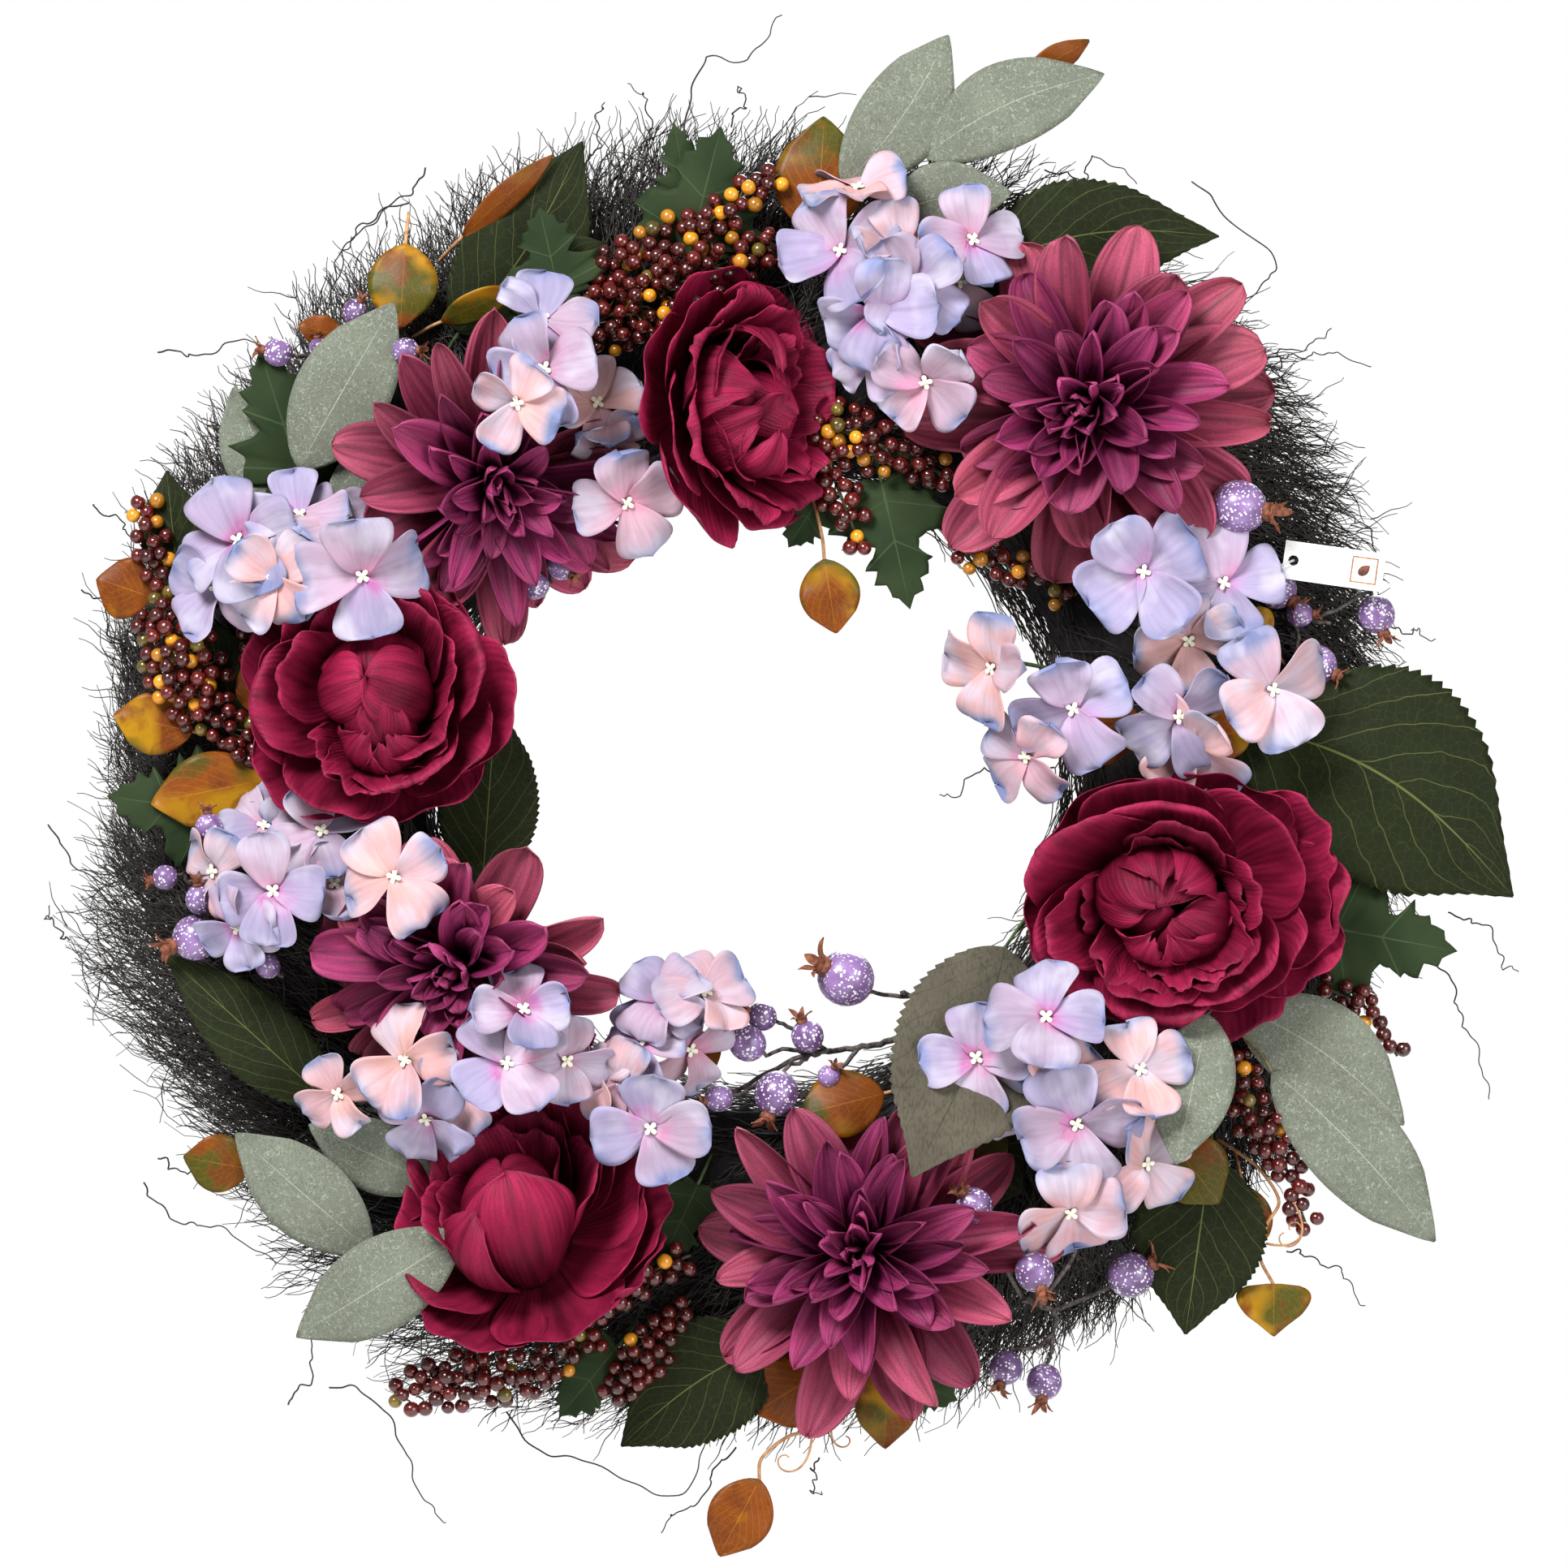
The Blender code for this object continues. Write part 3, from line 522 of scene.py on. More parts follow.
calyxSkin = plainCloth("calyxBrown", (0.10, 0.03, 0.015), (0.30, 0.10, 0.05), 500)
stemSkin = plainCloth("stemGreen", (0.03, 0.06, 0.02), (0.09, 0.14, 0.05), 300)
oliveStalkSkin = plainCloth("stalkOlive", (0.09, 0.075, 0.03), (0.22, 0.18, 0.09), 300)
tanSkin = plainCloth("tendrilTan", (0.30, 0.13, 0.05), (0.52, 0.28, 0.13), 300)
twigSkin = plainCloth("dyedTwig", (0.006, 0.005, 0.005), (0.040, 0.032, 0.027), 900, rough=0.5, gloss=0.45)
coreSkin = plainCloth("twigHeart", (0.003,) * 3, (0.012, 0.010, 0.009), 350, rough=0.85, bump=1.5)
speckledStemSkin = plainCloth("speckledStem", (0.012, 0.008, 0.007), (0.12, 0.10, 0.09), 420, rough=0.6)
print("finishes mixed")


def petal(
    length, width, rise, fall, cup=1.1, tipCup=0.7, rows=14, cols=11, base=0.30, tip=0.45,
    groove=0.5, curl=0.0, wave=0.0, phase=0.0, welt=0.0, front=0.62,
):
    v = 1 - (1 - np.linspace(0, 1, rows)) ** 1.35
    u = np.linspace(-1, 1, cols)[None]
    lean = np.radians(rise + (fall - rise) * v**1.2 + curl * np.clip(v - 0.65, 0, 1) ** 2 * 8)
    step = np.diff(v, prepend=0) * length
    x = np.cumsum(np.cos(lean) * step)[:, None]
    z = np.cumsum(np.sin(lean) * step)[:, None]
    shape = np.maximum(v, 0.001) ** front * np.maximum(1 - v, 0.0) ** tip
    shape = shape / shape.max()
    shape = shape + base * (1 - v) ** 3 * (1 - shape) + 0.015
    half = (width / 2 * shape)[:, None]
    bend = (cup + (tipCup - cup) * v)[:, None]
    y = half * np.sin(u * bend) / bend
    n = half * (1 - np.cos(u * bend)) / bend
    belly = (np.sin(math.pi * v) ** 0.7)[:, None]
    n = n - groove * np.exp(-((u / 0.14) ** 2)) * belly + 0.4 * groove * np.cos(u * 9.5) * belly
    n = n + welt * np.exp(-(((np.abs(u) - 0.70) / 0.14) ** 2)) * belly
    n = n + wave * np.sin(u * 4 + phase) * (v**2)[:, None]
    n = n + wave * 0.6 * np.sin(v * 9 + phase * 2)[:, None] * u
    lean = lean[:, None]
    return np.stack([x - np.sin(lean) * n, y + 0 * x, z + np.cos(lean) * n], -1)


def marks(grid, kind):
    rows, cols = grid.shape[:2]
    v, u = np.meshgrid(np.linspace(0, 1, rows), np.linspace(-1, 1, cols), indexing="ij")
    return np.stack([u, v, np.full_like(u, kind)], -1)


dahliaRings = [  # how many, length, width, rise and fall in degrees, base height, plum share
    (10, 80, 37, 20, -14, 2, 0.0),
    (10, 72, 35, 28, -4, 6, 0.05),
    (10, 60, 29, 38, 6, 10, 0.75),
    (10, 50, 24, 50, 18, 13, 0.95),
    (9, 38, 19, 58, 36, 16, 1.0),
    (8, 28, 15, 68, 60, 19, 1.0),
    (5, 20, 11, 80, 95, 21, 1.0),
]


dahliaPetal = {
    "rows": 18, "cols": 15, "twist": 24, "wave": 1.2, "groove": 1.3, "welt": 1.2, "cloth": 0.35,
}


def dahliaHead(number, plan):
    rng = np.random.RandomState(40 + number)
    basket = newBasket()
    size = plan["reach"] / 80
    turn = facing(plan["tilt"], plan["lean"], plan["spin"])
    slim, dusk = plan.get("slim", 1.0), plan.get("dusk", 0.0)
    for ring, (count, length, width, rise, fall, height, plum) in enumerate(dahliaRings):
        grown = plan.get("heart", 1.0) if ring > 1 else 1.0
        shift = np.array(plan.get("shift", (0, 0, 0))) * (ring > 1)
        for k in range(count):
            azimuth = 360 / count * (k + 0.5 * (ring % 2)) + rng.uniform(-9, 9)
            grid = petal(
                length * size * grown * rng.uniform(0.88, 1.08),
                width * size * slim * grown**0.6 * rng.uniform(0.88, 1.1),
                rise + rng.uniform(-8, 8),
                fall + rng.uniform(-14, 14),
                cup=rng.uniform(1.0, 1.55),
                tipCup=rng.uniform(0.6, 1.7 if ring < 4 else 2.2),
                rows=dahliaPetal["rows"],
                cols=dahliaPetal["cols"],
                tip=plan["points"] + rng.uniform(-0.06, 0.08),
                curl=rng.uniform(-14, 32),
                wave=dahliaPetal["wave"] * size,
                phase=rng.uniform(0, 6),
                groove=dahliaPetal["groove"] * size * width / 38,
                welt=dahliaPetal["welt"] * size * width / 38,
            )
            grid = grid @ about(rng.uniform(-dahliaPetal["twist"], dahliaPetal["twist"]), "X").T
            grid = grid + (3 * size, 0, height * size)
            grid = grid @ about(azimuth).T
            grid = (grid * plan["squash"]) @ turn.T + plan["at"] + shift
            tone = np.clip(plum + dusk + rng.uniform(-0.16, 0.16), 0, 1)
            addSheet(basket, grid, marks(grid, tone), rng.uniform(0.15, 1.0))
    stands = [f"dahlia_{number}_petals"]
    makePiece(f"dahlia{number}Petals", basket, [dahliaSkin], stands, dahliaPetal["cloth"])


dahlias = [
    {
        "at": (141, 156, 14), "reach": 83, "tilt": 6, "lean": 200, "spin": 8, "squash": (1, 0.9, 1),
        "points": 0.46,
    },
    {
        "at": (-113, 129, 15), "reach": 66, "tilt": 28, "lean": 310, "spin": 20,
        "squash": (0.94, 1.12, 1), "points": 0.55, "slim": 0.95, "dusk": 0.15, "heart": 1.12,
    },
    {
        "at": (-121, -78, 19), "reach": 65, "tilt": 27, "lean": 215, "spin": 0, "squash": (1.06, 0.84, 1),
        "points": 0.34, "slim": 1.12, "dusk": 0.08, "heart": 1.18, "shift": (5, 5, 3),
    },
    {
        "at": (48, -199, 14), "reach": 79, "tilt": 10, "lean": 150, "spin": 30, "squash": (1, 0.92, 1),
        "points": 0.60, "slim": 0.88, "dusk": 0.2,
    },
]
for number, plan in enumerate(dahlias, 1):
    dahliaHead(number, plan)
print("dahlias made")


def bowlPetal(handles, azimuth, span, rng, ruffle, jag, shingle, rows=17, cols=27):
    v, u = np.meshgrid(np.linspace(0, 1, rows), np.linspace(-1, 1, cols), indexing="ij")
    ragged = sum(rng.uniform(0.3, 1) * np.sin(u * k + rng.uniform(0, 6)) for k in (3, 7, 13, 23)) / 4
    t = v * (1 - 0.30 * np.abs(u) ** 3 + jag * ragged * v)
    a, b, c, d = [np.array(h, float) for h in handles]
    curve = ((1 - t) ** 3)[..., None] * a + (3 * t * (1 - t) ** 2)[..., None] * b
    curve = curve + (3 * t**2 * (1 - t))[..., None] * c + (t**3)[..., None] * d
    reach, height = curve[..., 0], curve[..., 1]
    folds = 0
    for k in (2.5, 5, 9):
        folds = folds + rng.uniform(0.4, 1) * np.sin(u * k + rng.uniform(0, 6) + v * rng.uniform(-2, 2))
    folds = folds / 2
    reach = reach + ruffle * folds * v**2 + shingle * u * (0.3 + v)
    height = height + ruffle * 0.7 * np.sin(u * 6 + rng.uniform(0, 6)) * v**3
    reach = reach + 0.10 * ruffle * np.sin(u * 30 + v * 5) * np.sin(math.pi * v) * v
    turn = np.radians(azimuth + span * u * (0.62 + 0.38 * np.sin(math.pi * np.clip(v * 0.9, 0, 0.9))))
    return np.stack([reach * np.cos(turn), reach * np.sin(turn), height], -1)


petalBends = {  # the side view of each sort of petal, from its root to its rim, as (reach, height)
    "skirt": ((8, 2), (44, -2), (62, 12), (66, 22)),
    "open": ((7, 4), (44, 0), (58, 34), (60, 28)),
    "rolled": ((6, 6), (44, 2), (46, 50), (56, 40)),
    "wall": ((6, 6), (36, 4), (36, 42), (44, 46)),
    "hood": ((6, 6), (40, 2), (50, 48), (16, 52)),
    "ragged": ((5, 8), (28, 8), (26, 34), (35, 42)),
    "inward": ((4, 10), (26, 10), (30, 40), (8, 42)),
}


def around(count, first=0):
    return [first + 360 / count * k for k in range(count)]


shellShape = {
    "length": 66, "rise": (58, 68), "fall": (168, 184), "rows": 20, "cols": 23, "foot": 6, "lift": 6,
}


def shellPetal(width, azimuth, ruffle, rng):
    rows, cols = shellShape["rows"], shellShape["cols"]
    grid = petal(
        shellShape["length"] * rng.uniform(0.94, 1.06) * (0.6 + width / 150),
        width * rng.uniform(0.95, 1.05),
        rng.uniform(*shellShape["rise"]),
        rng.uniform(*shellShape["fall"]),
        cup=1.25,
        tipCup=rng.uniform(0.7, 1.1),
        rows=rows,
        cols=cols,
        base=0.5,
        tip=rng.uniform(0.30, 0.40),
        groove=0.35,
        wave=ruffle * 0.6,
        phase=rng.uniform(0, 6),
        front=0.55,
    )
    v, u = np.meshgrid(np.linspace(0, 1, rows), np.linspace(-1, 1, cols), indexing="ij")
    grid[..., 2] += ruffle * 0.5 * np.sin(u * 7 + rng.uniform(0, 6)) * v**3
    grid[..., 0] += ruffle * 0.4 * np.sin(u * 4 + v * 5 + rng.uniform(0, 6)) * v
    return (grid + (shellShape["foot"] + width * 0.24, 0, shellShape["lift"])) @ about(azimuth).T


def peonyHead(number, plan):
    rng = np.random.RandomState(70 + number)
    basket = newBasket()
    turn = facing(plan["tilt"], plan["lean"], 0)
    squash = np.array(plan.get("squash", (1, 1, 1))) * (plan["reach"] / 64)
    for bend, azimuths, span, ruffle, jag, dark, shift in plan["petals"]:
        for azimuth in azimuths:
            if bend == "shell":
                grid = shellPetal(span, azimuth, ruffle, rng)
            else:
                handles = []
                for out, up in petalBends[bend]:
                    handles.append((out * rng.uniform(0.95, 1.05), up * rng.uniform(0.93, 1.07)))
                azimuth, wide = azimuth + rng.uniform(-6, 6), span * rng.uniform(0.9, 1.1)
                grid = bowlPetal(handles, azimuth, wide, rng, ruffle, jag, shingle=rng.uniform(1, 3))
            grid = ((grid + (*shift, 0)[:3]) * squash) @ turn.T + plan["at"]
            # dark blends towards the darker inner ramp: painted shade inside the bowl
            addSheet(basket, grid, marks(grid, dark), rng.uniform(0.2, 1.0))
    stands = [f"peony_{number}_petals"]
    makePiece(f"peony{number}Petals", basket, [peonySkin], stands, 0.35)


# Each row of petals: its bend, azimuths, span or width, ruffle, raggedness, how dark (painted shade, deeper
# towards the bowl's middle), and a shift of the row.
peonies = [
    {
        "at": (-18, 155, 12), "reach": 52, "tilt": 46, "lean": 5, "squash": (1, 1.08, 1),
        "petals": [
            ("skirt", around(5, 20), 46, 2.5, 0.04, 0.0, (0, 0)),
            ("open", around(5, 60), 44, 2.0, 0.06, 0.1, (0, 0)),
            ("rolled", (100, 150, 200, 250, 300), 36, 2.4, 0.08, 0.1, (0, 0)),
            ("wall", around(5, 10), 42, 2.5, 0.10, 0.4, (2, 0)),
            ("hood", (95, 170, 215, 260), 36, 2.4, 0.05, 0.15, (-2, 0)),
            ("ragged", (0, 50, 130, 215, 300), 46, 3.4, 0.14, 0.5, (4, 0)),
            ("inward", (50, 190, 300), 66, 3.4, 0.12, 0.5, (5, -2)),
            ("shell", (70, 200, 315), 30, 1.6, 0, 0.6, (8, -2)),
            ("shell", (150, 270), 40, 1.8, 0, 0.35, (2, -2)),
        ],
    },
    {
        "at": (-156, 31, 12), "reach": 55, "tilt": 10, "lean": 120,
        "petals": [
            ("skirt", around(5, 0), 46, 3.0, 0.05, 0.0, (0, 0)),
            ("open", around(5, 36), 44, 2.2, 0.05, 0.1, (0, 0)),
            ("rolled", (20, 75, 130, 185, 300), 44, 1.8, 0.04, 0.1, (0, 3)),
            ("wall", (55, 110, 165, 10, 320), 46, 2.2, 0.06, 0.4, (0, 3)),
            ("ragged", (215, 245, 275, 305, 335), 40, 3.4, 0.10, 0.45, (4, -14)),
            ("inward", (235, 305), 62, 3.4, 0.08, 0.5, (4, -15)),
            ("shell", (260, 320), 36, 2.6, 0, 0.4, (4, -14)),
            ("shell", (95,), 56, 3.4, 0, 0.4, (0, 12, -13)),
            ("shell", (190,), 42, 2.6, 0, 0.15, (-8, 3, 3)),
            ("shell", (345,), 50, 2.8, 0, 0.1, (7, 3, 3)),
        ],
    },
    {
        "at": (-95, -194, 12), "reach": 56, "tilt": 38, "lean": 105, "squash": (0.95, 1.08, 1),
        "petals": [
            ("skirt", (350, 30, 250, 300), 42, 3.0, 0.06, 0.1, (0, 0)),
            ("skirt", (330, 0), 34, 3.0, 0.06, 0.1, (10, 0)),
            ("open", (60, 110, 160, 205), 44, 2.0, 0.05, 0.1, (0, 0)),
            ("rolled", (60, 95, 135), 46, 1.2, 0.02, 0.05, (0, 2)),
            ("wall", (20, 80, 140, 195), 44, 2.0, 0.06, 0.4, (0, 2)),
            ("ragged", (60, 120, 180), 50, 2.8, 0.06, 0.4, (-3, 3)),
            ("shell", (60, 140), 40, 2.2, 0, 0.4, (-3, 4)),
            ("shell", (190,), 54, 1.8, 0, 0.1, (-5, 3)),
            ("shell", (10,), 44, 2.0, 0, 0.2, (0, 5)),
            ("hood", (232,), 50, 2.0, 0.03, 0.05, (-2, -2)),
            ("shell", (285,), 74, 1.4, 0, 0.05, (2, -4)),
        ],
    },
    {
        "at": (175, -48, 12), "reach": 64, "tilt": 10, "lean": 240, "squash": (1, 0.86, 0.95),
        "petals": [
            ("skirt", around(5, 350), 44, 3.5, 0.06, 0.0, (3, 0)),
            ("skirt", (330, 5, 40), 34, 4.0, 0.08, 0.05, (5, 1)),
            ("open", around(5, 30), 46, 1.4, 0.02, 0.0, (-2, 0)),
            ("rolled", (85, 145, 205, 265, 320), 46, 1.0, 0.02, 0.0, (-5, -2)),
            ("wall", (15, 75, 195, 255, 310), 44, 2.6, 0.08, 0.45, (-5, -2)),
            ("ragged", (225, 265, 300, 340), 44, 3.4, 0.12, 0.4, (-4, -7)),
            ("inward", (35, 100), 55, 3.0, 0.08, 0.5, (-3, 5)),
            ("inward", (240, 300), 55, 3.0, 0.06, 0.4, (-3, -7)),
            ("ragged", (0, 90, 180, 270), 44, 3.4, 0.10, 0.7, (-4, -1, -10)),
            ("shell", (95,), 56, 3.4, 0, 0.5, (-6, 6, -9)),
            ("shell", (220,), 34, 2.6, 0, 0.5, (-10, -4, -12)),
            ("shell", (150,), 44, 2.8, 0, 0.3, (-12, 3, -8)),
            ("shell", (320,), 50, 2.6, 0, 0.25, (5, -7, -10)),
        ],
    },
]
for number, plan in enumerate(peonies, 1):
    peonyHead(number, plan)
print("peonies made")


floretShape = {
    "rise": (5, 40), "fall": (-50, 25), "rows": 14, "cols": 13, "twist": 24, "eye": 0.9, "cloth": 0.3,
}


def addFloret(basket, at, size, spin, tilt, lean, peach, root, rng):
    turn = facing(tilt, lean, spin)
    for k in range(4):
        grid = petal(
            size * 0.5 * rng.uniform(0.92, 1.12),
            size * 0.55 * rng.uniform(0.88, 1.16),
            rng.uniform(*floretShape["rise"]),
            rng.uniform(*floretShape["fall"]),
            cup=0.6,
            tipCup=rng.uniform(0.05, 0.6) * rng.choice((1, 1, 1, -1)),
            rows=floretShape["rows"],
            cols=floretShape["cols"],
            base=0.16,
            tip=rng.uniform(0.24, 0.38),
            front=0.85,
            groove=0.3,
            wave=rng.uniform(0.8, 2.2),
            phase=rng.uniform(0, 6),
            curl=rng.uniform(-30, 30),
        )
        grid = grid @ about(rng.uniform(-floretShape["twist"], floretShape["twist"]), "X").T
        grid = grid + (0.8, 0, 0.4 * (k % 2))
        grid = grid @ about(90 * k + rng.uniform(-12, 12)).T
        grid = grid @ turn.T + at
        tone = np.clip(peach + rng.uniform(-0.2, 0.3), 0, 1)
        addSheet(basket, grid, marks(grid, tone), rng.uniform(0.2, 1.0))
    for k in range(4):
        grid = petal(3.0, 2.0, 20, 0, cup=0.6, tipCup=0.4, rows=5, cols=5, tip=0.4, groove=0.1)
        grid = (grid + (0.2, 0, 1.8)) @ about(90 * k + 45).T @ turn.T + at
        addSheet(basket, grid, marks(grid, 0), 0.6, 1)
    addBall(basket, np.array((0, 0, 2.0)) @ turn.T + at, floretShape["eye"], skin=1, shape=smallBall)
    back = np.array([(0, 0, 0.5), (0, 0, -7), (0.5, 0, -15)]) @ turn.T + at
    knee = (back[-1] + root) / 2 + (0, 0, 4)
    tubes(basket, smoothPath(np.vstack([back, knee, root]), 14), 0.9, 5, 1.0, 0.5, 2)


# where each floret stands, its width, spin, tilt, lean and how peach it is
hydrangeas = [
    [
        ((36, 219, 34), 50, 30, 22, 150, 0.0), ((61, 220, 34), 40, 10, 25, 60, 0.95),
        ((65, 204, 40), 44, 40, 10, 300, 0.0), ((90, 224, 26), 44, 15, 30, 30, 0.1),
        ((52, 193, 40), 50, 0, 15, 250, 0.05), ((43, 245, 26), 44, 20, 55, 100, 0.8),
        ((71, 165, 36), 42, 60, 20, 250, 0.35), ((85, 207, 22), 44, 40, 20, 20, 0.7),
        ((48, 177, 30), 36, 30, 30, 240, 0.05),
    ],
    [
        ((-88, 190, 46), 42, 70, 40, 60, 0.05), ((-86, 169, 62), 44, 20, 12, 200, 0.1),
        ((-97, 155, 66), 40, 60, 26, 230, 0.8), ((-66, 156, 28), 40, 10, 30, 40, 0.8),
        ((-62, 141, 24), 34, 50, 35, 300, 0.7), ((-53, 115, 34), 46, 15, 20, 280, 0.25),
    ],
    [
        ((-214, 99, 34), 52, 20, 15, 150, 0.0), ((-199, 84, 40), 44, 40, 15, 260, 0.95),
        ((-189, 109, 30), 44, 0, 30, 90, 0.05), ((-175, 107, 30), 38, 40, 45, 80, 0.2),
        ((-162, 84, 50), 54, 10, 12, 300, 0.1), ((-223, 80, 28), 42, 60, 30, 200, 0.05),
    ],
    [
        ((-199, -46, 42), 46, 5, 10, 220, 0.1), ((-148, -40, 64), 46, 30, 6, 200, 0.95),
        ((-180, -22, 26), 42, 20, 24, 80, 0.1), ((-192, -5, 14), 38, 70, 40, 90, 0.0),
        ((-224, -38, 30), 36, 50, 40, 190, 0.7), ((-214, -61, 34), 38, 20, 35, 230, 0.05),
        ((-204, -20, 22), 38, 30, 30, 110, 0.2), ((-175, -44, 28), 34, 0, 30, 60, 0.5),
    ],
    [
        ((-144, -116, 46), 46, 20, 15, 180, 0.75), ((-102, -117, 60), 48, 35, 8, 30, 0.1),
        ((-172, -130, 36), 34, 20, 30, 210, 0.8), ((-125, -129, 40), 36, 30, 30, 250, 0.45),
        ((-136, -140, 38), 38, 60, 30, 260, 0.1), ((-95, -95, 62), 40, 10, 18, 80, 0.05),
        ((-78, -116, 50), 36, 0, 25, 330, 0.3),
    ],
    [
        ((-21, -89, 34), 42, 20, 40, 60, 0.6), ((-38, -92, 38), 40, 50, 25, 110, 0.15),
        ((-47, -111, 40), 38, 10, 20, 150, 0.05), ((-54, -126, 42), 38, 60, 25, 220, 0.7),
        ((-43, -144, 46), 50, 5, 12, 270, 0.05), ((-65, -122, 36), 36, 30, 35, 180, 0.7),
        ((-27, -112, 32), 36, 30, 30, 330, 0.3),
    ],
    [
        ((161, 86, 42), 54, 35, 8, 250, 0.0), ((194, 81, 34), 52, 20, 20, 30, 0.0),
        ((180, 58, 34), 44, 5, 25, 270, 0.9), ((214, 37, 40), 50, 30, 25, 0, 0.65),
        ((132, 29, 42), 50, 20, 10, 200, 0.05), ((175, 26, 44), 46, 45, 15, 330, 0.0),
        ((99, 46, 38), 44, 80, 45, 190, 0.8), ((113, 10, 34), 40, 50, 40, 220, 0.5),
        ((182, 14, 36), 48, 40, 35, 270, 0.9),
    ],
    [
        ((120, -98, 62), 50, 0, 12, 90, 0.0), ((92, -115, 46), 46, 10, 12, 180, 0.0),
        ((125, -125, 44), 40, 40, 20, 300, 0.95), ((159, -120, 48), 44, 15, 15, 20, 0.9),
        ((133, -142, 50), 52, 20, 15, 270, 0.0), ((162, -159, 38), 42, 50, 30, 340, 0.75),
        ((131, -179, 40), 48, 10, 30, 270, 0.7), ((97, -131, 34), 40, 40, 30, 230, 0.2),
    ],
]
for number, cluster in enumerate(hydrangeas, 1):
    rng = np.random.RandomState(100 + number)
    basket = newBasket()
    middle = np.mean([floret[0] for floret in cluster], axis=0)
    for at, size, spin, tilt, lean, peach in cluster:
        root = np.array((*(0.6 * middle + 0.4 * np.array(at))[:2], -5))
        addFloret(basket, np.array(at), size, spin, tilt, lean, peach, root, rng)
    skins, stands = [floretSkin, creamSkin, stemSkin], [f"hydrangea_{number}"]
    makePiece(f"hydrangea{number}", basket, skins, stands, floretShape["cloth"])
print("hydrangeas made")


# How far up the widest place is, how full the sides are, then how much the tip draws in, from where,
# over what length and how fast.
leafEdges = {
    "broad": (0.80, 0.80, 0.45, 0.7, 0.3, 1.2),
    "sage": (0.92, 0.72, 0.3, 0.75, 0.25, 1.0),
    "heart": (0.5, 0.75, 0.35, 0.6, 0.4, 1.0),
}


def leafEdge(v, kind):
    skew, full, drawn, start, over, speed = leafEdges[kind]
    return np.sin(math.pi * v**skew) ** full * (1 - drawn * np.clip((v - start) / over, 0, 1) ** speed)


# Down one side: how far along the midrib the vein leaves it, then the edge's place along and across.
lobedOutline = [
    (0.00, 0.00, 0.04), (0.01, -0.05, 0.20), (0.02, -0.05, 0.42), (0.03, 0.03, 0.40), (0.04, 0.04, 0.56),
    (0.06, 0.11, 0.52), (0.08, 0.13, 0.76), (0.11, 0.20, 0.78), (0.14, 0.30, 1.00), (0.17, 0.35, 0.80),
    (0.19, 0.44, 0.82), (0.22, 0.44, 0.56), (0.26, 0.48, 0.36), (0.36, 0.55, 0.38), (0.46, 0.64, 0.56),
    (0.52, 0.66, 0.42), (0.62, 0.76, 0.45), (0.68, 0.78, 0.28), (0.80, 0.88, 0.26), (0.86, 0.90, 0.13),
    (1.00, 1.00, 0.00),
]
lobedRibs = (2, 8, 14)


def lobedSheet(length, width, cols=13, fine=3):
    stops = np.arange(len(lobedOutline))
    rows = np.linspace(0, len(stops) - 1, (len(stops) - 1) * fine + 1)
    foot, along, across = [np.interp(rows, stops, column) for column in np.array(lobedOutline).T]
    ribs = np.max([np.clip(1 - np.abs(rows - rib), 0, 1) for rib in lobedRibs], axis=0)
    u = np.linspace(-1, 1, cols)[None]
    away = np.abs(u)
    x = (foot[:, None] + away * (along - foot)[:, None]) * length
    lean = 1 + 0.09 * np.sin(rows * 2.1 + width)[:, None] * np.sign(u)
    y = u * (across * width / 2)[:, None] * lean
    grow = np.stack([u + 0 * x, rows[:, None] / rows[-1] + 0 * x, ribs[:, None] + 0 * x], -1)
    sag = 0.06 * length * np.sin(math.pi * np.clip(foot, 0, 1))[:, None] - 0.10 * np.abs(y) * away
    ripple = 0.8 * away * np.cos(rows * 2 * math.pi / 6)[:, None]
    return x, y, sag + ripple, grow


def addLeaf(
    basket, base, tip, width, kind="sage", arch=0.06, roll=0.0, fold=0.15, tint=0.5, stalk=None,
    bend=0.0, quilt=0.0,
):
    base, tip = np.array(base, float), np.array(tip, float)
    rows, cols = {"broad": (105, 17)}.get(kind, (25, 11))
    length = np.linalg.norm(tip - base)
    x = (tip - base) / length
    y = np.cross((0, 0, 1), x)
    y /= np.linalg.norm(y)
    z = np.cross(x, y)
    if kind == "lobed":
        along, across, lift, grow = lobedSheet(length, width)
    else:
        v, u = np.meshgrid(np.linspace(0, 1, rows), np.linspace(-1, 1, cols), indexing="ij")
        half = width / 2 * np.maximum(leafEdge(np.clip(v, 0.001, 0.999), kind), 0.0) + 0.25
        notch = 1 + 0.07 * ((v * 26) % 1 - 0.5) * (v > 0.05) * (kind == "broad")
        side = u * half * notch
        along = v * length
        rolled = math.radians(roll)
        lift = arch * length * np.sin(math.pi * v) - fold * np.abs(side) * 0.5
        lift = lift + np.sin(v * 7 + width) * u * v + 0.5 * np.sin(v * 16 + length) * u**2
        lift = lift + quilt * np.abs(np.sin(math.pi * 7 * (v - 0.42 * np.abs(u)))) * np.abs(u) ** 0.5
        across = side * np.cos(rolled) + bend * length * np.sin(math.pi * v**0.9)
        lift = lift + side * np.sin(rolled)
        grow = np.stack([u * notch, v, 0 * u], -1)
    grid = base + along[..., None] * x + across[..., None] * y + lift[..., None] * z
    addSheet(basket, grid, grow, tint)
    rows, cols = grid.shape[:2]
    rib = grid[: int(rows * 0.92) : max(rows // 12, 1), cols // 2] - 0.7 * z
    tubes(basket, rib, 0.42, 5, 0.35, tint, 1)
    if stalk is None:
        stalk = [base - 5 * x + (0, 0, -2), (*(base - 14 * x)[:2], -6)]
    tubes(basket, smoothPath([rib[0] + 0.5 * x, *stalk], 36), 0.75, 6, 1.0, tint, 1)


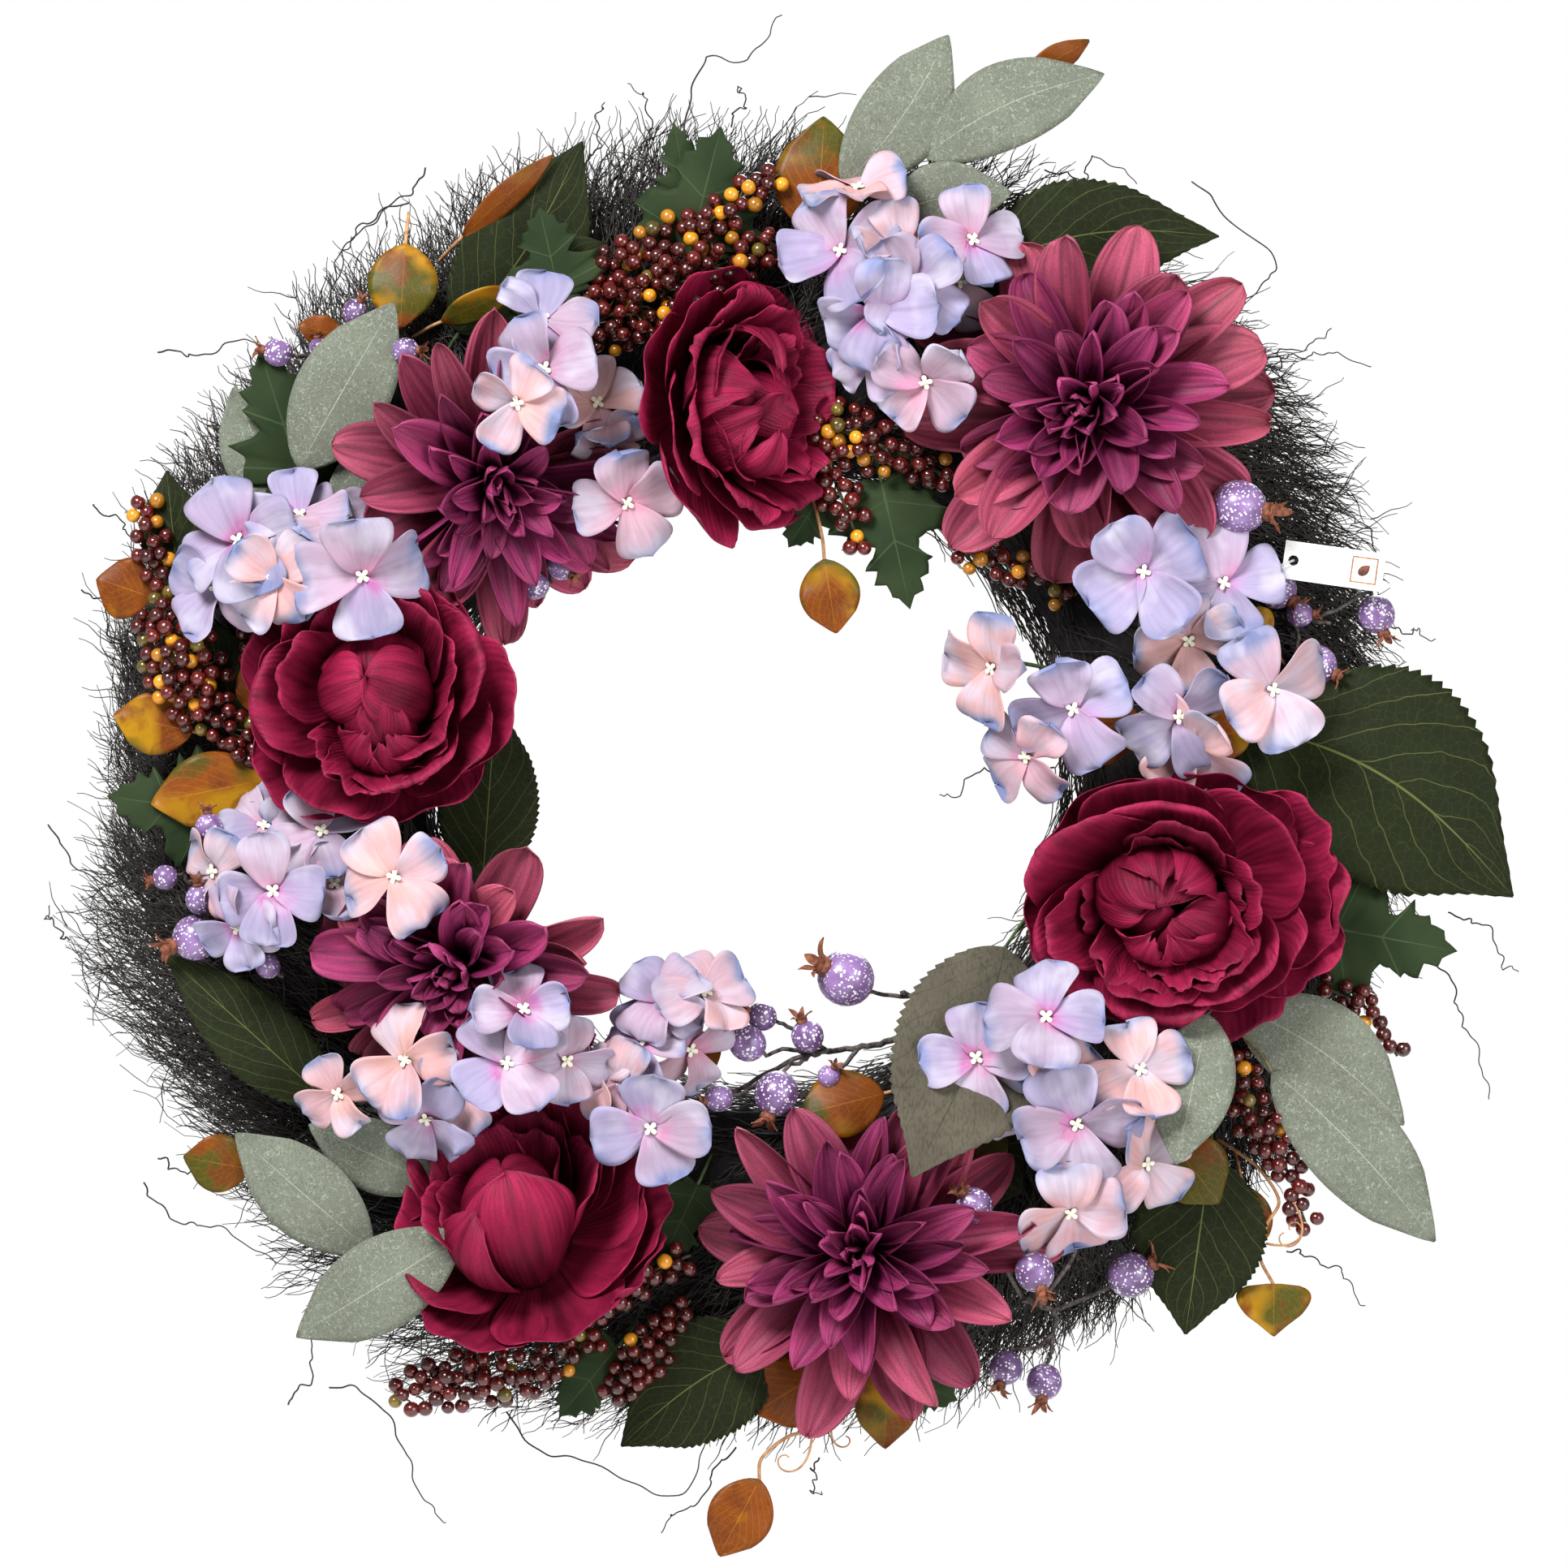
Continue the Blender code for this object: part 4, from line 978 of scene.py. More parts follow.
def leafPiece(name, leaves, skins, stands=()):
    basket = newBasket()
    for leaf in leaves:
        addLeaf(basket, **leaf)
    makePiece(name, basket, skins, stands, 0.3)


broadLeaves = [
    [{"base": (88, 207, 6), "tip": (194, 227, 9), "width": 48, "arch": 0.05, "bend": 0.10, "quilt": 0.8}],
    [
        {
            "base": (204, 22, 8), "tip": (317, -49, 8), "width": 92, "arch": 0.08, "fold": 0.25,
            "bend": 0.10, "quilt": 1.2,
        },
    ],
    [
        {
            "base": (104, -70, 26), "tip": (65, -164, 56), "width": 68, "arch": 0.02, "fold": -0.1,
            "roll": 0, "bend": 0.04, "stalk": [(113, -58, 12), (122, -48, -5)],
        },
    ],
    [
        {
            "base": (8, -236, 6), "tip": (-56, -279, 4), "width": 52, "arch": 0.05, "bend": -0.06,
            "quilt": 0.8,
        },
    ],
    [{"base": (190, -158, 10), "tip": (180, -232, 8), "width": 56, "arch": 0.05, "quilt": 0.8}],
    [{"base": (-177, -136, 6), "tip": (-247, -72, 12), "width": 36, "arch": 0.06, "roll": 18}],
]
for number, leaves in enumerate(broadLeaves, 1):
    for leaf in leaves:
        leaf["kind"] = "broad"
    skins = [paleSkin if number == 3 else broadSkin, stemSkin]
    leafPiece(f"broadLeaf{number}", leaves, skins, [f"broad_leaf_{number}"])

sageLeaves = [
    [
        {"base": (37, 248, 10), "tip": (81, 311, 8), "width": 37, "roll": 6, "bend": -0.05},
        {
            "base": (71, 260, 10), "tip": (146, 295, 8), "width": 36, "roll": -6, "arch": 0.08,
            "bend": 0.06,
        },
        {"base": (54, 234, 12), "tip": (107, 245, 14), "width": 30, "roll": 5, "bend": 0.06},
    ],
    [
        {"base": (-190, 129, 20), "tip": (-150, 198, 26), "width": 40, "roll": -6},
        {"base": (-197, 112, 4), "tip": (-218, 164, 4), "width": 32, "roll": 10},
        {"base": (-176, 103, 12), "tip": (-146, 146, 18), "width": 28, "roll": 0},
    ],
    [
        {"base": (-160, -197, 14), "tip": (-217, -148, 12), "width": 36, "roll": -8},
        {"base": (-133, -169, 18), "tip": (-186, -144, 16), "width": 32, "roll": -20},
        {"base": (-122, -189, 44), "tip": (-191, -232, 20), "width": 38, "roll": 6},
    ],
    [
        {
            "base": (188, -97, 30), "tip": (174, -159, 52), "width": 34, "roll": 6,
            "stalk": [(194, -92, 18), (201, -88, 4)],
        },
        {"base": (201, -95, 10), "tip": (271, -144, 14), "width": 42, "roll": 8, "bend": 0.06},
        {
            "base": (216, -122, 13), "tip": (284, -193, 12), "width": 40, "roll": -4, "bend": 0.03,
            "stalk": [(209, -112, 12), (194, -99, 4)],
        },
    ],
]
for number, leaves in enumerate(sageLeaves, 1):
    skins, stands = [sageSkin, oliveStalkSkin], [f"sage_spray_{number}"]
    leafPiece(f"sageSpray{number}", leaves, skins, stands)

lobedLeaves = [
    {"base": (235, -61, 6), "tip": (294, -72, 6), "width": 60},
    {"base": (-28, 218, 6), "tip": (-14, 273, 8), "width": 58},
    {"base": (-27, 237, 4), "tip": (-34, 275, 4), "width": 30},
    {"base": (-81, 200, 14), "tip": (-90, 239, 14), "width": 46},
    {"base": (-188, 121, 8), "tip": (-207, 180, 10), "width": 56},
    {"base": (53, 124, 4), "tip": (65, 71, 4), "width": 52},
    {"base": (29, 121, 4), "tip": (14, 97, 2), "width": 36},
    {"base": (-223, -14, 6), "tip": (-271, -7, 8), "width": 52},
    {"base": (-24, -170, 4), "tip": (-39, -202, 6), "width": 40},
    {"base": (-58, -238, 4), "tip": (-82, -267, 4), "width": 44},
    {"base": (58, -248, 2), "tip": (85, -260, 4), "width": 38},
    {"base": (136, 109, 8), "tip": (139, 82, 6), "width": 38},
]
for leaf in lobedLeaves:
    leaf["kind"] = "lobed"
leafPiece("lobedLeaf1", lobedLeaves[:1], [lobedSkin, stemSkin], ["lobed_leaf_1"])
leafPiece("lobedLeaves", lobedLeaves[1:], [lobedSkin, stemSkin], ())

fillBroad = [
    {"base": (-114, -45, 4), "tip": (-108, 34, 4), "width": 42},
    {"base": (-124, 187, 4), "tip": (-72, 267, 4), "width": 50, "roll": 6, "arch": 0.03, "bend": -0.05},
    {"base": (-112, 204, 4), "tip": (-62, 224, 4), "width": 40},
    {"base": (-241, 82, 4), "tip": (-246, 129, 6), "width": 28},
    {"base": (-214, 20, 2), "tip": (-231, 68, 4), "width": 34},
    {"base": (85, -156, 4), "tip": (112, -173, 4), "width": 40},
    {"base": (143, 88, 2), "tip": (168, 118, 2), "width": 34},
]
for leaf in fillBroad:
    leaf["kind"] = "broad"
leafPiece("fillLeaves", fillBroad, [broadSkin, stemSkin], ())

amberLeaves = [
    {"base": (-252, 76, 8), "tip": (-275, 84, 8), "width": 26},
    {"base": (-146, 224, 8), "tip": (-148, 188, 14), "width": 29, "tint": 0.7},
    {"base": (-131, 191, 12), "tip": (-99, 205, 12), "width": 14, "roll": 30},
    {"base": (-172, 185, 8), "tip": (-191, 190, 8), "width": 13},
    {"base": (26, 227, 8), "tip": (29, 277, 8), "width": 38, "tint": 0.6},
    {"base": (113, 294, 4), "tip": (140, 309, 5), "width": 13, "roll": 30},
    {"base": (-122, 227, 8), "tip": (-84, 261, 10), "width": 12, "roll": 30},
    {"base": (-235, 20, 8), "tip": (-268, 27, 8), "width": 26},
    {"base": (-204, 0, 10), "tip": (-252, -10, 12), "width": 32, "tint": 0.8},
    {"base": (-211, -163, 6), "tip": (-239, -158, 6), "width": 24},
    {
        "base": (29, 92, 10), "tip": (34, 61, 10), "width": 25,
        "stalk": [(28, 102, 10), (24, 119, 4), (19, 136, 0)],
    },
    {"base": (54, -131, 16), "tip": (18, -140, 16), "width": 28, "roll": 10},
    {"base": (-14, -112, 14), "tip": (-31, -116, 14), "width": 20, "roll": 30},
    {"base": (160, 27, 20), "tip": (126, 12, 20), "width": 28},
    {"base": (184, 15, 20), "tip": (209, 22, 20), "width": 20},
    {"base": (173, -150, 16), "tip": (194, -177, 14), "width": 30, "tint": 0.7},
    {"base": (27, -248, 8), "tip": (0, -265, 4), "width": 32},
    {"base": (56, -245, 8), "tip": (54, -280, 4), "width": 26, "tint": 0.7},
    {"base": (58, -242, 8), "tip": (89, -241, 4), "width": 16},
    {"base": (-126, -24, 6), "tip": (-105, 2, 6), "width": 20, "tint": 0.9},
    {"base": (92, -160, 16), "tip": (105, -150, 14), "width": 16},
    {"base": (214, 58, 8), "tip": (203, 71, 10), "width": 18},
    {"base": (-204, 27, 4), "tip": (-214, 48, 8), "width": 16},
    {"base": (204, -170, 6), "tip": (209, -199, 6), "width": 20},
]
leafPiece("amberLeaf1", amberLeaves[:1], [amberSkin, tanSkin], ["amber_leaf_1"])
leafPiece("amberLeaves", amberLeaves[1:], [amberSkin, tanSkin], ())

danglers = [
    {
        "base": (2, -293, 4), "tip": (-15, -325, 4), "width": 27,
        "stalk": [(3, -284, 4), (14, -275, 5), (27, -271, 5), (29, -258, 0), (29, -248, -6)],
    },
    {
        "base": (217, -211, 6), "tip": (217, -233, 6), "width": 31, "kind": "heart",
        "stalk": [
            (211, -199, 8), (214, -186, 10), (219, -176, 9), (211, -163, 6), (202, -156, 2),
            (194, -151, -6),
        ],
    },
]
for number, leaf in enumerate(danglers, 1):
    skins, stands = [amberSkin, tanSkin], [f"dangling_leaf_{number}"]
    leafPiece(f"danglingLeaf{number}", [leaf], skins, stands)


def tendrilCurl(start, heading, length, turns):
    s = np.linspace(0, 1, 60)
    bend = np.radians(heading) + turns * 2 * math.pi * s**2
    step = length / 60 * (1 - 0.55 * s)
    points = np.stack([np.cumsum(np.cos(bend) * step), np.cumsum(np.sin(bend) * step), np.zeros(60)], -1)
    return points + start


basket = newBasket()
for start, heading, length, turns in (
    ((24, -273, 5), 265, 48, -0.9),
    ((224, -175, 10), 300, 46, -0.8),
    ((213, -194, 8), 350, 40, 0.9),
    ((34, -265, 2), 250, 34, 0.8),
):
    tubes(basket, tendrilCurl(np.array(start), heading, length, turns), 0.55, 5, 0.5, 0.6)
makePiece("tendrilCurls", basket, [tanSkin], ())
print("leaves made")


def berrySpray(name, arms, seed, stands=()):
    rng = np.random.RandomState(seed)
    basket = newBasket()
    placed = []
    for arm in arms:
        path = smoothPath(arm["path"], 40)
        tubes(basket, path[::3] - (0, 0, 2), 0.9, 5, 0.6, 0.4, 1)
        made = 0
        for attempt in range(arm["count"] * 30):
            if made >= arm["count"]:
                break
            t = rng.uniform(0, 1)
            k = int(t * 39)
            girth = arm["girth"] * (0.55 + 0.45 * math.sin(math.pi * min(t * 1.15 + 0.05, 1)))
            angle, away = rng.uniform(0, 2 * math.pi), math.sqrt(rng.uniform(0, 1)) * girth
            direction = path[min(k + 1, 39)] - path[max(k - 1, 0)]
            direction /= np.linalg.norm(direction)
            side = np.cross(direction, (0, 0, 1))
            up = np.array((0, 0, abs(away * math.sin(angle)) * 0.8))
            spot = path[k] + side * away * math.cos(angle) + up
            if any(np.linalg.norm(spot - other) < 5.5 for other in placed):
                continue
            placed.append(spot)
            made += 1
            draw = rng.uniform(0, 1)
            kind = 0.65 if draw < arm.get("gold", 0.08) else 1.0 if draw > 0.955 else 0.0
            turn = facing(rng.uniform(0, 60), rng.uniform(0, 360), 0)
            size, tint = rng.uniform(2.75, 3.35), rng.uniform(0, 1)
            addBall(basket, spot, size, tint, kind, turn=turn, stretch=(1, 1, 1.05))
            if made % 2 == 0:
                stalk = smoothPath([path[max(k - 3, 0)] - (0, 0, 2), (path[k] + spot) / 2, spot], 5)
                tubes(basket, stalk, 0.45, 4, 0.8, 0.4, 1)
    makePiece(name, basket, [berrySkin, oliveStalkSkin], stands)


berrySprays = [
    [
        {"path": [(-78, 186, 6), (-44, 202, 8), (-17, 214, 10), (10, 224, 8)], "girth": 19, "count": 120},
        {"path": [(-66, 211, 6), (-48, 224, 10), (-34, 233, 10)], "girth": 8, "count": 28},
        {"path": [(-27, 224, 10), (-14, 237, 12), (10, 253, 12)], "girth": 9, "count": 42, "gold": 0.16},
    ],
    [
        {
            "path": [(24, 151, 6), (41, 144, 8), (61, 136, 8), (82, 126, 6)], "girth": 13, "count": 74,
            "gold": 0.12,
        },
        {"path": [(29, 136, 6), (37, 116, 8), (45, 95, 8)], "girth": 9, "count": 44, "gold": 0.08},
        {
            "path": [(83, 97, 6), (102, 91, 6), (122, 88, 4), (129, 73, 2)], "girth": 8, "count": 46,
            "gold": 0.1,
        },
    ],
    [
        {"path": [(-254, 116, 8), (-252, 95, 10), (-247, 75, 10)], "girth": 8, "count": 34, "gold": 0.12},
        {
            "path": [(-248, 75, 8), (-240, 51, 10), (-230, 31, 10), (-207, 8, 8)], "girth": 17,
            "count": 140, "gold": 0.10,
        },
        {"path": [(-204, 76, 6), (-211, 65, 8), (-214, 48, 8)], "girth": 6, "count": 20, "gold": 0.0},
    ],
    [
        {
            "path": [(-151, -258, 4), (-126, -252, 6), (-92, -248, 6), (-65, -231, 6)], "girth": 11,
            "count": 72, "gold": 0.08,
        },
        {
            "path": [(-95, -224, 10), (-65, -214, 12), (-27, -199, 10)], "girth": 12, "count": 70,
            "gold": 0.08,
        },
        {
            "path": [(-61, -258, 4), (-44, -238, 8), (-27, -218, 8)], "girth": 10, "count": 44,
            "gold": 0.03,
        },
    ],
    [
        {
            "path": [(201, -116, 4), (209, -139, 8), (221, -160, 8), (232, -190, 4)], "girth": 10,
            "count": 78, "gold": 0.05,
        },
        {"path": [(236, -86, 4), (255, -95, 4), (269, -116, 4)], "girth": 7, "count": 30, "gold": 0.1},
    ],
]
for number, arms in enumerate(berrySprays, 1):
    berrySpray(f"berrySpray{number}", arms, 200 + number, [f"berry_spray_{number}"])
print("berries made")


def hipSpray(name, hips, branch, seed, stands=()):
    rng = np.random.RandomState(seed)
    basket = newBasket()
    branch = smoothPath(branch, 30)
    branch = branch + rng.normal(0, 0.35, branch.shape)
    tubes(basket, branch, 1.5, 6, 0.6, 0.5, 2)
    for at, radius, toward in hips:
        at = np.array(at, float)
        turn = facing(rng.uniform(55, 80), toward, rng.uniform(0, 70))
        addBall(basket, at, radius, rng.uniform(0.2, 0.9), turn=turn, stretch=(1, 1, 1.06))
        out = turn @ np.array((0, 0, 1))
        neck = at + out * radius * 0.96
        collar = np.array([neck, neck + out * radius * 0.12, neck + out * radius * 0.3])
        tubes(basket, collar, radius * 0.34, 8, 1.15, 0.4, 1)
        for k in range(5):
            grid = petal(
                radius * rng.uniform(0.6, 0.95),
                radius * 0.42,
                62 + rng.uniform(-20, 14),
                30 + rng.uniform(-35, 35),
                cup=0.8,
                tipCup=0.9,
                rows=7,
                cols=5,
                base=0.6,
                tip=0.9,
                groove=0.1,
                wave=0.3,
            )
            grid = (grid + (radius * 0.22, 0, 0)) @ about(72 * k + rng.uniform(-12, 12)).T @ turn.T
            addSheet(basket, grid + neck + out * radius * 0.2, marks(grid, 0), rng.uniform(0.3, 0.9), 1)
        back = at - out * radius * 0.9
        near = int(np.argmin(np.linalg.norm(branch - back, axis=1)))
        joint = branch[max(near - 5, 0)]
        middle = (back + joint) / 2 + rng.uniform(-2, 2, 3)
        stem = smoothPath([back, back - out * 3, middle, joint], 14)
        stem[1:-1] += rng.normal(0, 0.25, (12, 3))
        tubes(basket, stem, 0.8, 5, 1.3, 0.5, 2)
    makePiece(name, basket, [hipSkin, calyxSkin, speckledStemSkin], stands)


rosehips = [
    (
        [(-163, 156, -10), (-170, 167, -2), (-180, 177, 4)],
        [
            ((-199, 178, 14), 5.9, 170), ((-167, 195, 14), 5.2, 60), ((-145, 178, 28), 5.6, 0),
            ((-182, 180, 8), 4.5, 100),
        ],
    ),
    (
        [(-204, -51, -8), (-218, -61, 0), (-227, -44, 8), (-227, -31, 12)],
        [
            ((-227, -20, 24), 5.8, 95), ((-246, -41, 14), 5.2, 190), ((-231, -50, 24), 6.0, 95),
            ((-233, -66, 18), 9.6, 200), ((-203, -78, 16), 5.2, 150), ((-217, -73, 8), 4.0, 100),
        ],
    ),
    (
        [(75, -103, -2), (54, -110, 8), (37, -113, 9), (17, -117, 9), (-10, -131, 10)],
        [
            ((3, -99, 16), 6.0, 160), ((-3, -110, 20), 7.6, 150), ((22, -107, 18), 6.8, 110),
            ((31, -124, 14), 4.8, 60), ((-15, -133, 16), 5.8, 190), ((9, -131, 20), 9.2, 250),
        ],
    ),
    (
        [(112, -218, -8), (126, -224, 0), (122, -238, 4)],
        [
            ((91, -177, 38), 7.8, 130), ((116, -204, 40), 8.2, 290), ((157, -207, 12), 9.4, 30),
            ((105, -246, 8), 7.0, 250), ((121, -252, 8), 7.4, 260), ((143, -188, 14), 6.6, 20),
        ],
    ),
    (
        [(201, 88, -10), (214, 71, -2), (241, 65, 4)],
        [
            ((218, 80, 5), 8.6, 320), ((228, 69, 5), 5.4, 0), ((260, 69, 5), 7.8, 290),
            ((235, 48, 8), 8.2, 330),
        ],
    ),
]
for number, (root, hips) in enumerate(rosehips, 1):
    hipSpray(f"rosehipSpray{number}", hips, root, 300 + number, [f"rosehip_spray_{number}"])
looseHips = [
    ("looseHips", 310, [(173, 122, -10), (184, 119, 0), (190, 117, 14)], [((201, 113, 32), 11.2, 350)]),
    ("leafHip", 312, [(92, -103, -8), (78, -95, 4), (61, -89, 12)], [((38, -83, 18), 11.6, 150)]),
    (
        "innerHips",
        311,
        [(-78, 126, -10), (-82, 112, -2), (-82, 102, 4)],
        [
            ((-92, 81, 8), 6.0, 200), ((-81, 89, 12), 5.8, 320), ((-44, 111, 8), 5.4, 30),
            ((-71, 115, 20), 4.6, 60),
        ],
    ),
]
for name, seed, branch, hips in looseHips:
    hipSpray(name, hips, branch, seed)
print("rose hips made")


# The mat's counts of strands, fringe and sprigs in each quarter, its edges from the middle, and its stock.
twigMat = {
    "count": 2000, "fringe": 1750, "branchlets": 2900,
    "inner": 131, "centre": 193, "half": 61, "rim": 264, "most": 302,
    "thickness": 0.41, "wave": 1.5,
}
# Degrees round from the right, with each strand's run, its lean, and how far past the rim it goes.
twigLay = {
    "run": ((0, 70), (60, 60), (110, 42), (160, 52), (185, 88), (235, 82), (270, 55)),
    "lean": ((0, 42), (60, 44), (100, 25), (150, 22), (180, 44), (225, 58), (270, 45), (320, 42)),
    "past": (
        (15, 0), (30, 16), (45, 18), (60, 14), (90, 9), (105, 19), (120, 14), (135, 7), (150, 11), (165, 8),
        (178, -3), (186, 10), (195, 34), (205, 13), (215, 7), (228, 20), (240, 33), (250, 16), (260, 8),
        (270, 6), (285, 4), (300, 0), (330, 4),
    ),
}


def matThickness(radius):
    across = np.clip(np.abs(radius - twigMat["centre"]) / twigMat["half"], 0, 1)
    return matDepth * (1 - across**2.5) ** 0.4


def fromWhere(degrees, *stops):
    where = np.array([s[0] for s in stops] + [stops[0][0] + 360])
    value = np.array([s[1] for s in stops] + [stops[0][1]])
    return np.interp((degrees - where[0]) % 360 + where[0], where, value)


def crinkle(rng, radius, angle, s, length, size):
    for wave, share in ((48, 1.0), (21, 0.5), (9, 0.2)):
        phase = rng.uniform(0, 6.3, (2, len(length), 1))
        radius = radius + size * share * np.sin(2 * math.pi * s * length / wave + phase[0])
        angle = angle + size * share / 215 * np.sin(2 * math.pi * s * length / wave * 0.9 + phase[1])
    return radius, angle


def twigStrands(rng, first, last, count, outer=False):
    s = np.linspace(0, 1, 16)[None]
    one = (count, 1)
    degrees = rng.uniform(first, last, one)
    outside = rng.uniform(0, 1, one) < 0.6
    root = np.where(outside, rng.uniform(188, 243, one), rng.uniform(140, 235, one))
    length = rng.uniform(0.6, 1.35, one) * fromWhere(degrees, *twigLay["run"])
    if outer:
        root = rng.uniform(206, 250, one)
        length = length * 0.85
    off = fromWhere(degrees, *twigLay["lean"])
    off = off + rng.normal(0, 14, one) + rng.normal(0, 32, one) * (rng.uniform(0, 1, one) < 0.3)
    off = np.radians(off)
    swept = np.degrees(length * np.sin(off) / (root + 20))
    longer = fromWhere((degrees - swept) % 360, *twigLay["past"])
    rim = twigMat["rim"] + longer + rng.normal(0, 5, one) + rng.exponential(3.5, one)
    rim = np.minimum(rim, twigMat["most"] - rng.exponential(3, one))
    outward = np.minimum(length * np.cos(off), rim - root)
    radius = root + outward * s**0.9
    angle = np.radians(degrees) - length * np.sin(off) * s / (root + 20)
    radius, angle = crinkle(rng, radius, angle, s, length, twigMat["wave"])
    onTop = rng.uniform(0, 1, one) < 0.72
    layer = np.where(onTop, rng.uniform(0.75, 1.05, one), rng.uniform(0.03, 0.75, one))
    tall = np.maximum(matThickness(radius), 17 * np.exp(-np.maximum(radius - 245, 0) / 30))
    lift = -matDepth + 1.2 + layer * tall + 1.3 * np.sin(s * 5 + rng.uniform(0, 6.3, one))
    return np.stack([radius * np.cos(angle), radius * np.sin(angle), lift], -1)


def branchlets(rng, strands, count):
    s = np.linspace(0, 1, 7)[None]
    which = rng.randint(0, len(strands), count)
    where = rng.randint(5, 15, count)
    start = strands[which, where]
    run = strands[which, where] - strands[which, where - 2]
    fork = rng.choice((-1, 1), count) * rng.uniform(10, 40, count)
    heading = np.arctan2(run[:, 1], run[:, 0]) + np.radians(fork)
    length = rng.uniform(7, 22, (count, 1))
    reach = s * length
    sway = 0.6 * np.sin(2 * math.pi * s * length / 14 + rng.uniform(0, 6.3, (count, 1)))
    sway = sway * np.minimum(s * 4, 1)
    heading = heading[:, None]
    x = start[:, :1] + reach * np.cos(heading) - sway * np.sin(heading)
    y = start[:, 1:2] + reach * np.sin(heading) + sway * np.cos(heading)
    z = start[:, 2:] + rng.uniform(-5, 3, (count, 1)) * s
    z = np.maximum(z, -matDepth + 1)
    pull = np.minimum(1, twigMat["most"] / np.hypot(x, y))
    return np.stack([x * pull, y * pull, z], -1)


def innerStrands(rng, first, last, count):
    s = np.linspace(0, 1, 10)[None]
    start = np.radians(rng.uniform(first, last, (count, 1)))
    radius = twigMat["inner"] + rng.uniform(-1, 26, (count, 1)) + rng.uniform(-9, 9, (count, 1)) * s
    angle = start - rng.uniform(20, 60, (count, 1)) * s / 140
    radius, angle = crinkle(rng, radius, angle, s, np.full((count, 1), 40.0), 1.2)
    lift = -matDepth + 1.5 + rng.uniform(0, 1, (count, 1)) * matThickness(np.maximum(radius + 6, 136))
    return np.stack([radius * np.cos(angle), radius * np.sin(angle), lift], -1)


loopRoom = {"halfWidth": 20, "above": 165, "depth": 9}  # kept free of twigs behind, for the loop to fold into


def clearOfLoop(strands):
    x, y, lift = strands[..., 0], strands[..., 1], strands[..., 2]
    behind = lift < -matDepth + loopRoom["depth"]
    inside = (np.abs(x) < loopRoom["halfWidth"]) & (y > loopRoom["above"]) & behind
    return strands[~inside.any(1)]


def backStrands(rng, first, last, count):
    s = np.linspace(0, 1, 10)[None]
    start = np.radians(rng.uniform(first, last, (count, 1)))
    radius = rng.uniform(142, 238, (count, 1)) + rng.uniform(-14, 20, (count, 1)) * s
    angle = start - rng.uniform(35, 80, (count, 1)) * s / 190
    radius, angle = crinkle(rng, radius, angle, s, np.full((count, 1), 55.0), 1.5)
    lift = -matDepth + 1.0 + rng.uniform(0, 2.2, (count, 1))
    lift = lift + 0.4 * np.sin(s * 9 + rng.uniform(0, 6.3, (count, 1)))
    return np.stack([radius * np.cos(angle), radius * np.sin(angle), lift], -1)


def twigHeart(basket, first, last, rng):
    turns = np.linspace(math.radians(first), math.radians(last), 60)
    ring = np.linspace(0, 2 * math.pi, 27)
    across, up = np.cos(ring), np.sin(ring)
    bumps = rng.uniform(-1, 1, (60, 27)) * 1.4
    bumps[:, -1] = bumps[:, 0]
    wide = 50 + bumps
    reach = 189 + np.sign(across) * np.abs(across) ** 0.8 * wide
    tall = matDepth / 2 - 3.5 + bumps * 0.8
    lift = -matDepth / 2 + np.sign(up) * np.abs(up) ** 0.8 * tall
    grid = np.stack([reach * np.cos(turns)[:, None], reach * np.sin(turns)[:, None], lift], -1)
    addSheet(basket, grid[:, ::-1], marks(grid, 0), 0.3, 1)
    for end, order in ((0, 1), (-1, -1)):
        fan = grid[end][:-1][::order]
        spread(basket, fan, [list(range(len(fan)))], (0, 0, 0), 0.3, 1)


seams = [38.2, 128.2, 218.2, 308.2, 398.2]
for number in range(1, 5):
    rng = np.random.RandomState(400 + number)
    basket = newBasket()
    first, last = seams[number - 1], seams[number]
    count = twigMat["count"]
    strands = twigStrands(rng, first, last, count)
    girth = rng.uniform(0.75, 1.25, count) * twigMat["thickness"]
    tubes(basket, strands, girth, 3, 0.45, rng.uniform(0, 1, count))
    twigHeart(basket, first, last, rng)
    makePiece(f"twigBundle{number}", basket, [twigSkin, coreSkin], [f"twig_bundle_{number}"])
    basket = newBasket()
    sprigs = clearOfLoop(branchlets(rng, strands, twigMat["branchlets"]))
    tubes(basket, sprigs, twigMat["thickness"] * 0.85, 3, 0.5, rng.uniform(0, 1, len(sprigs)))
    curls = innerStrands(rng, first, last, count // 3)
    tubes(basket, curls, twigMat["thickness"], 3, 0.5, 0.5)
    behind = clearOfLoop(backStrands(rng, first, last, count // 4))
    tubes(basket, behind, twigMat["thickness"], 3, 0.5, rng.uniform(0.2, 1, len(behind)))
    makePiece(f"twigBranchlets{number}", basket, [twigSkin], ())
    basket = newBasket()
    ends = twigStrands(rng, first, last, twigMat["fringe"], True)
    girth = rng.uniform(0.8, 1.15, len(ends)) * twigMat["thickness"]
    tubes(basket, ends, girth, 3, 0.45, rng.uniform(0, 1, len(ends)))
    makePiece(f"twigFringe{number}", basket, [twigSkin], ())

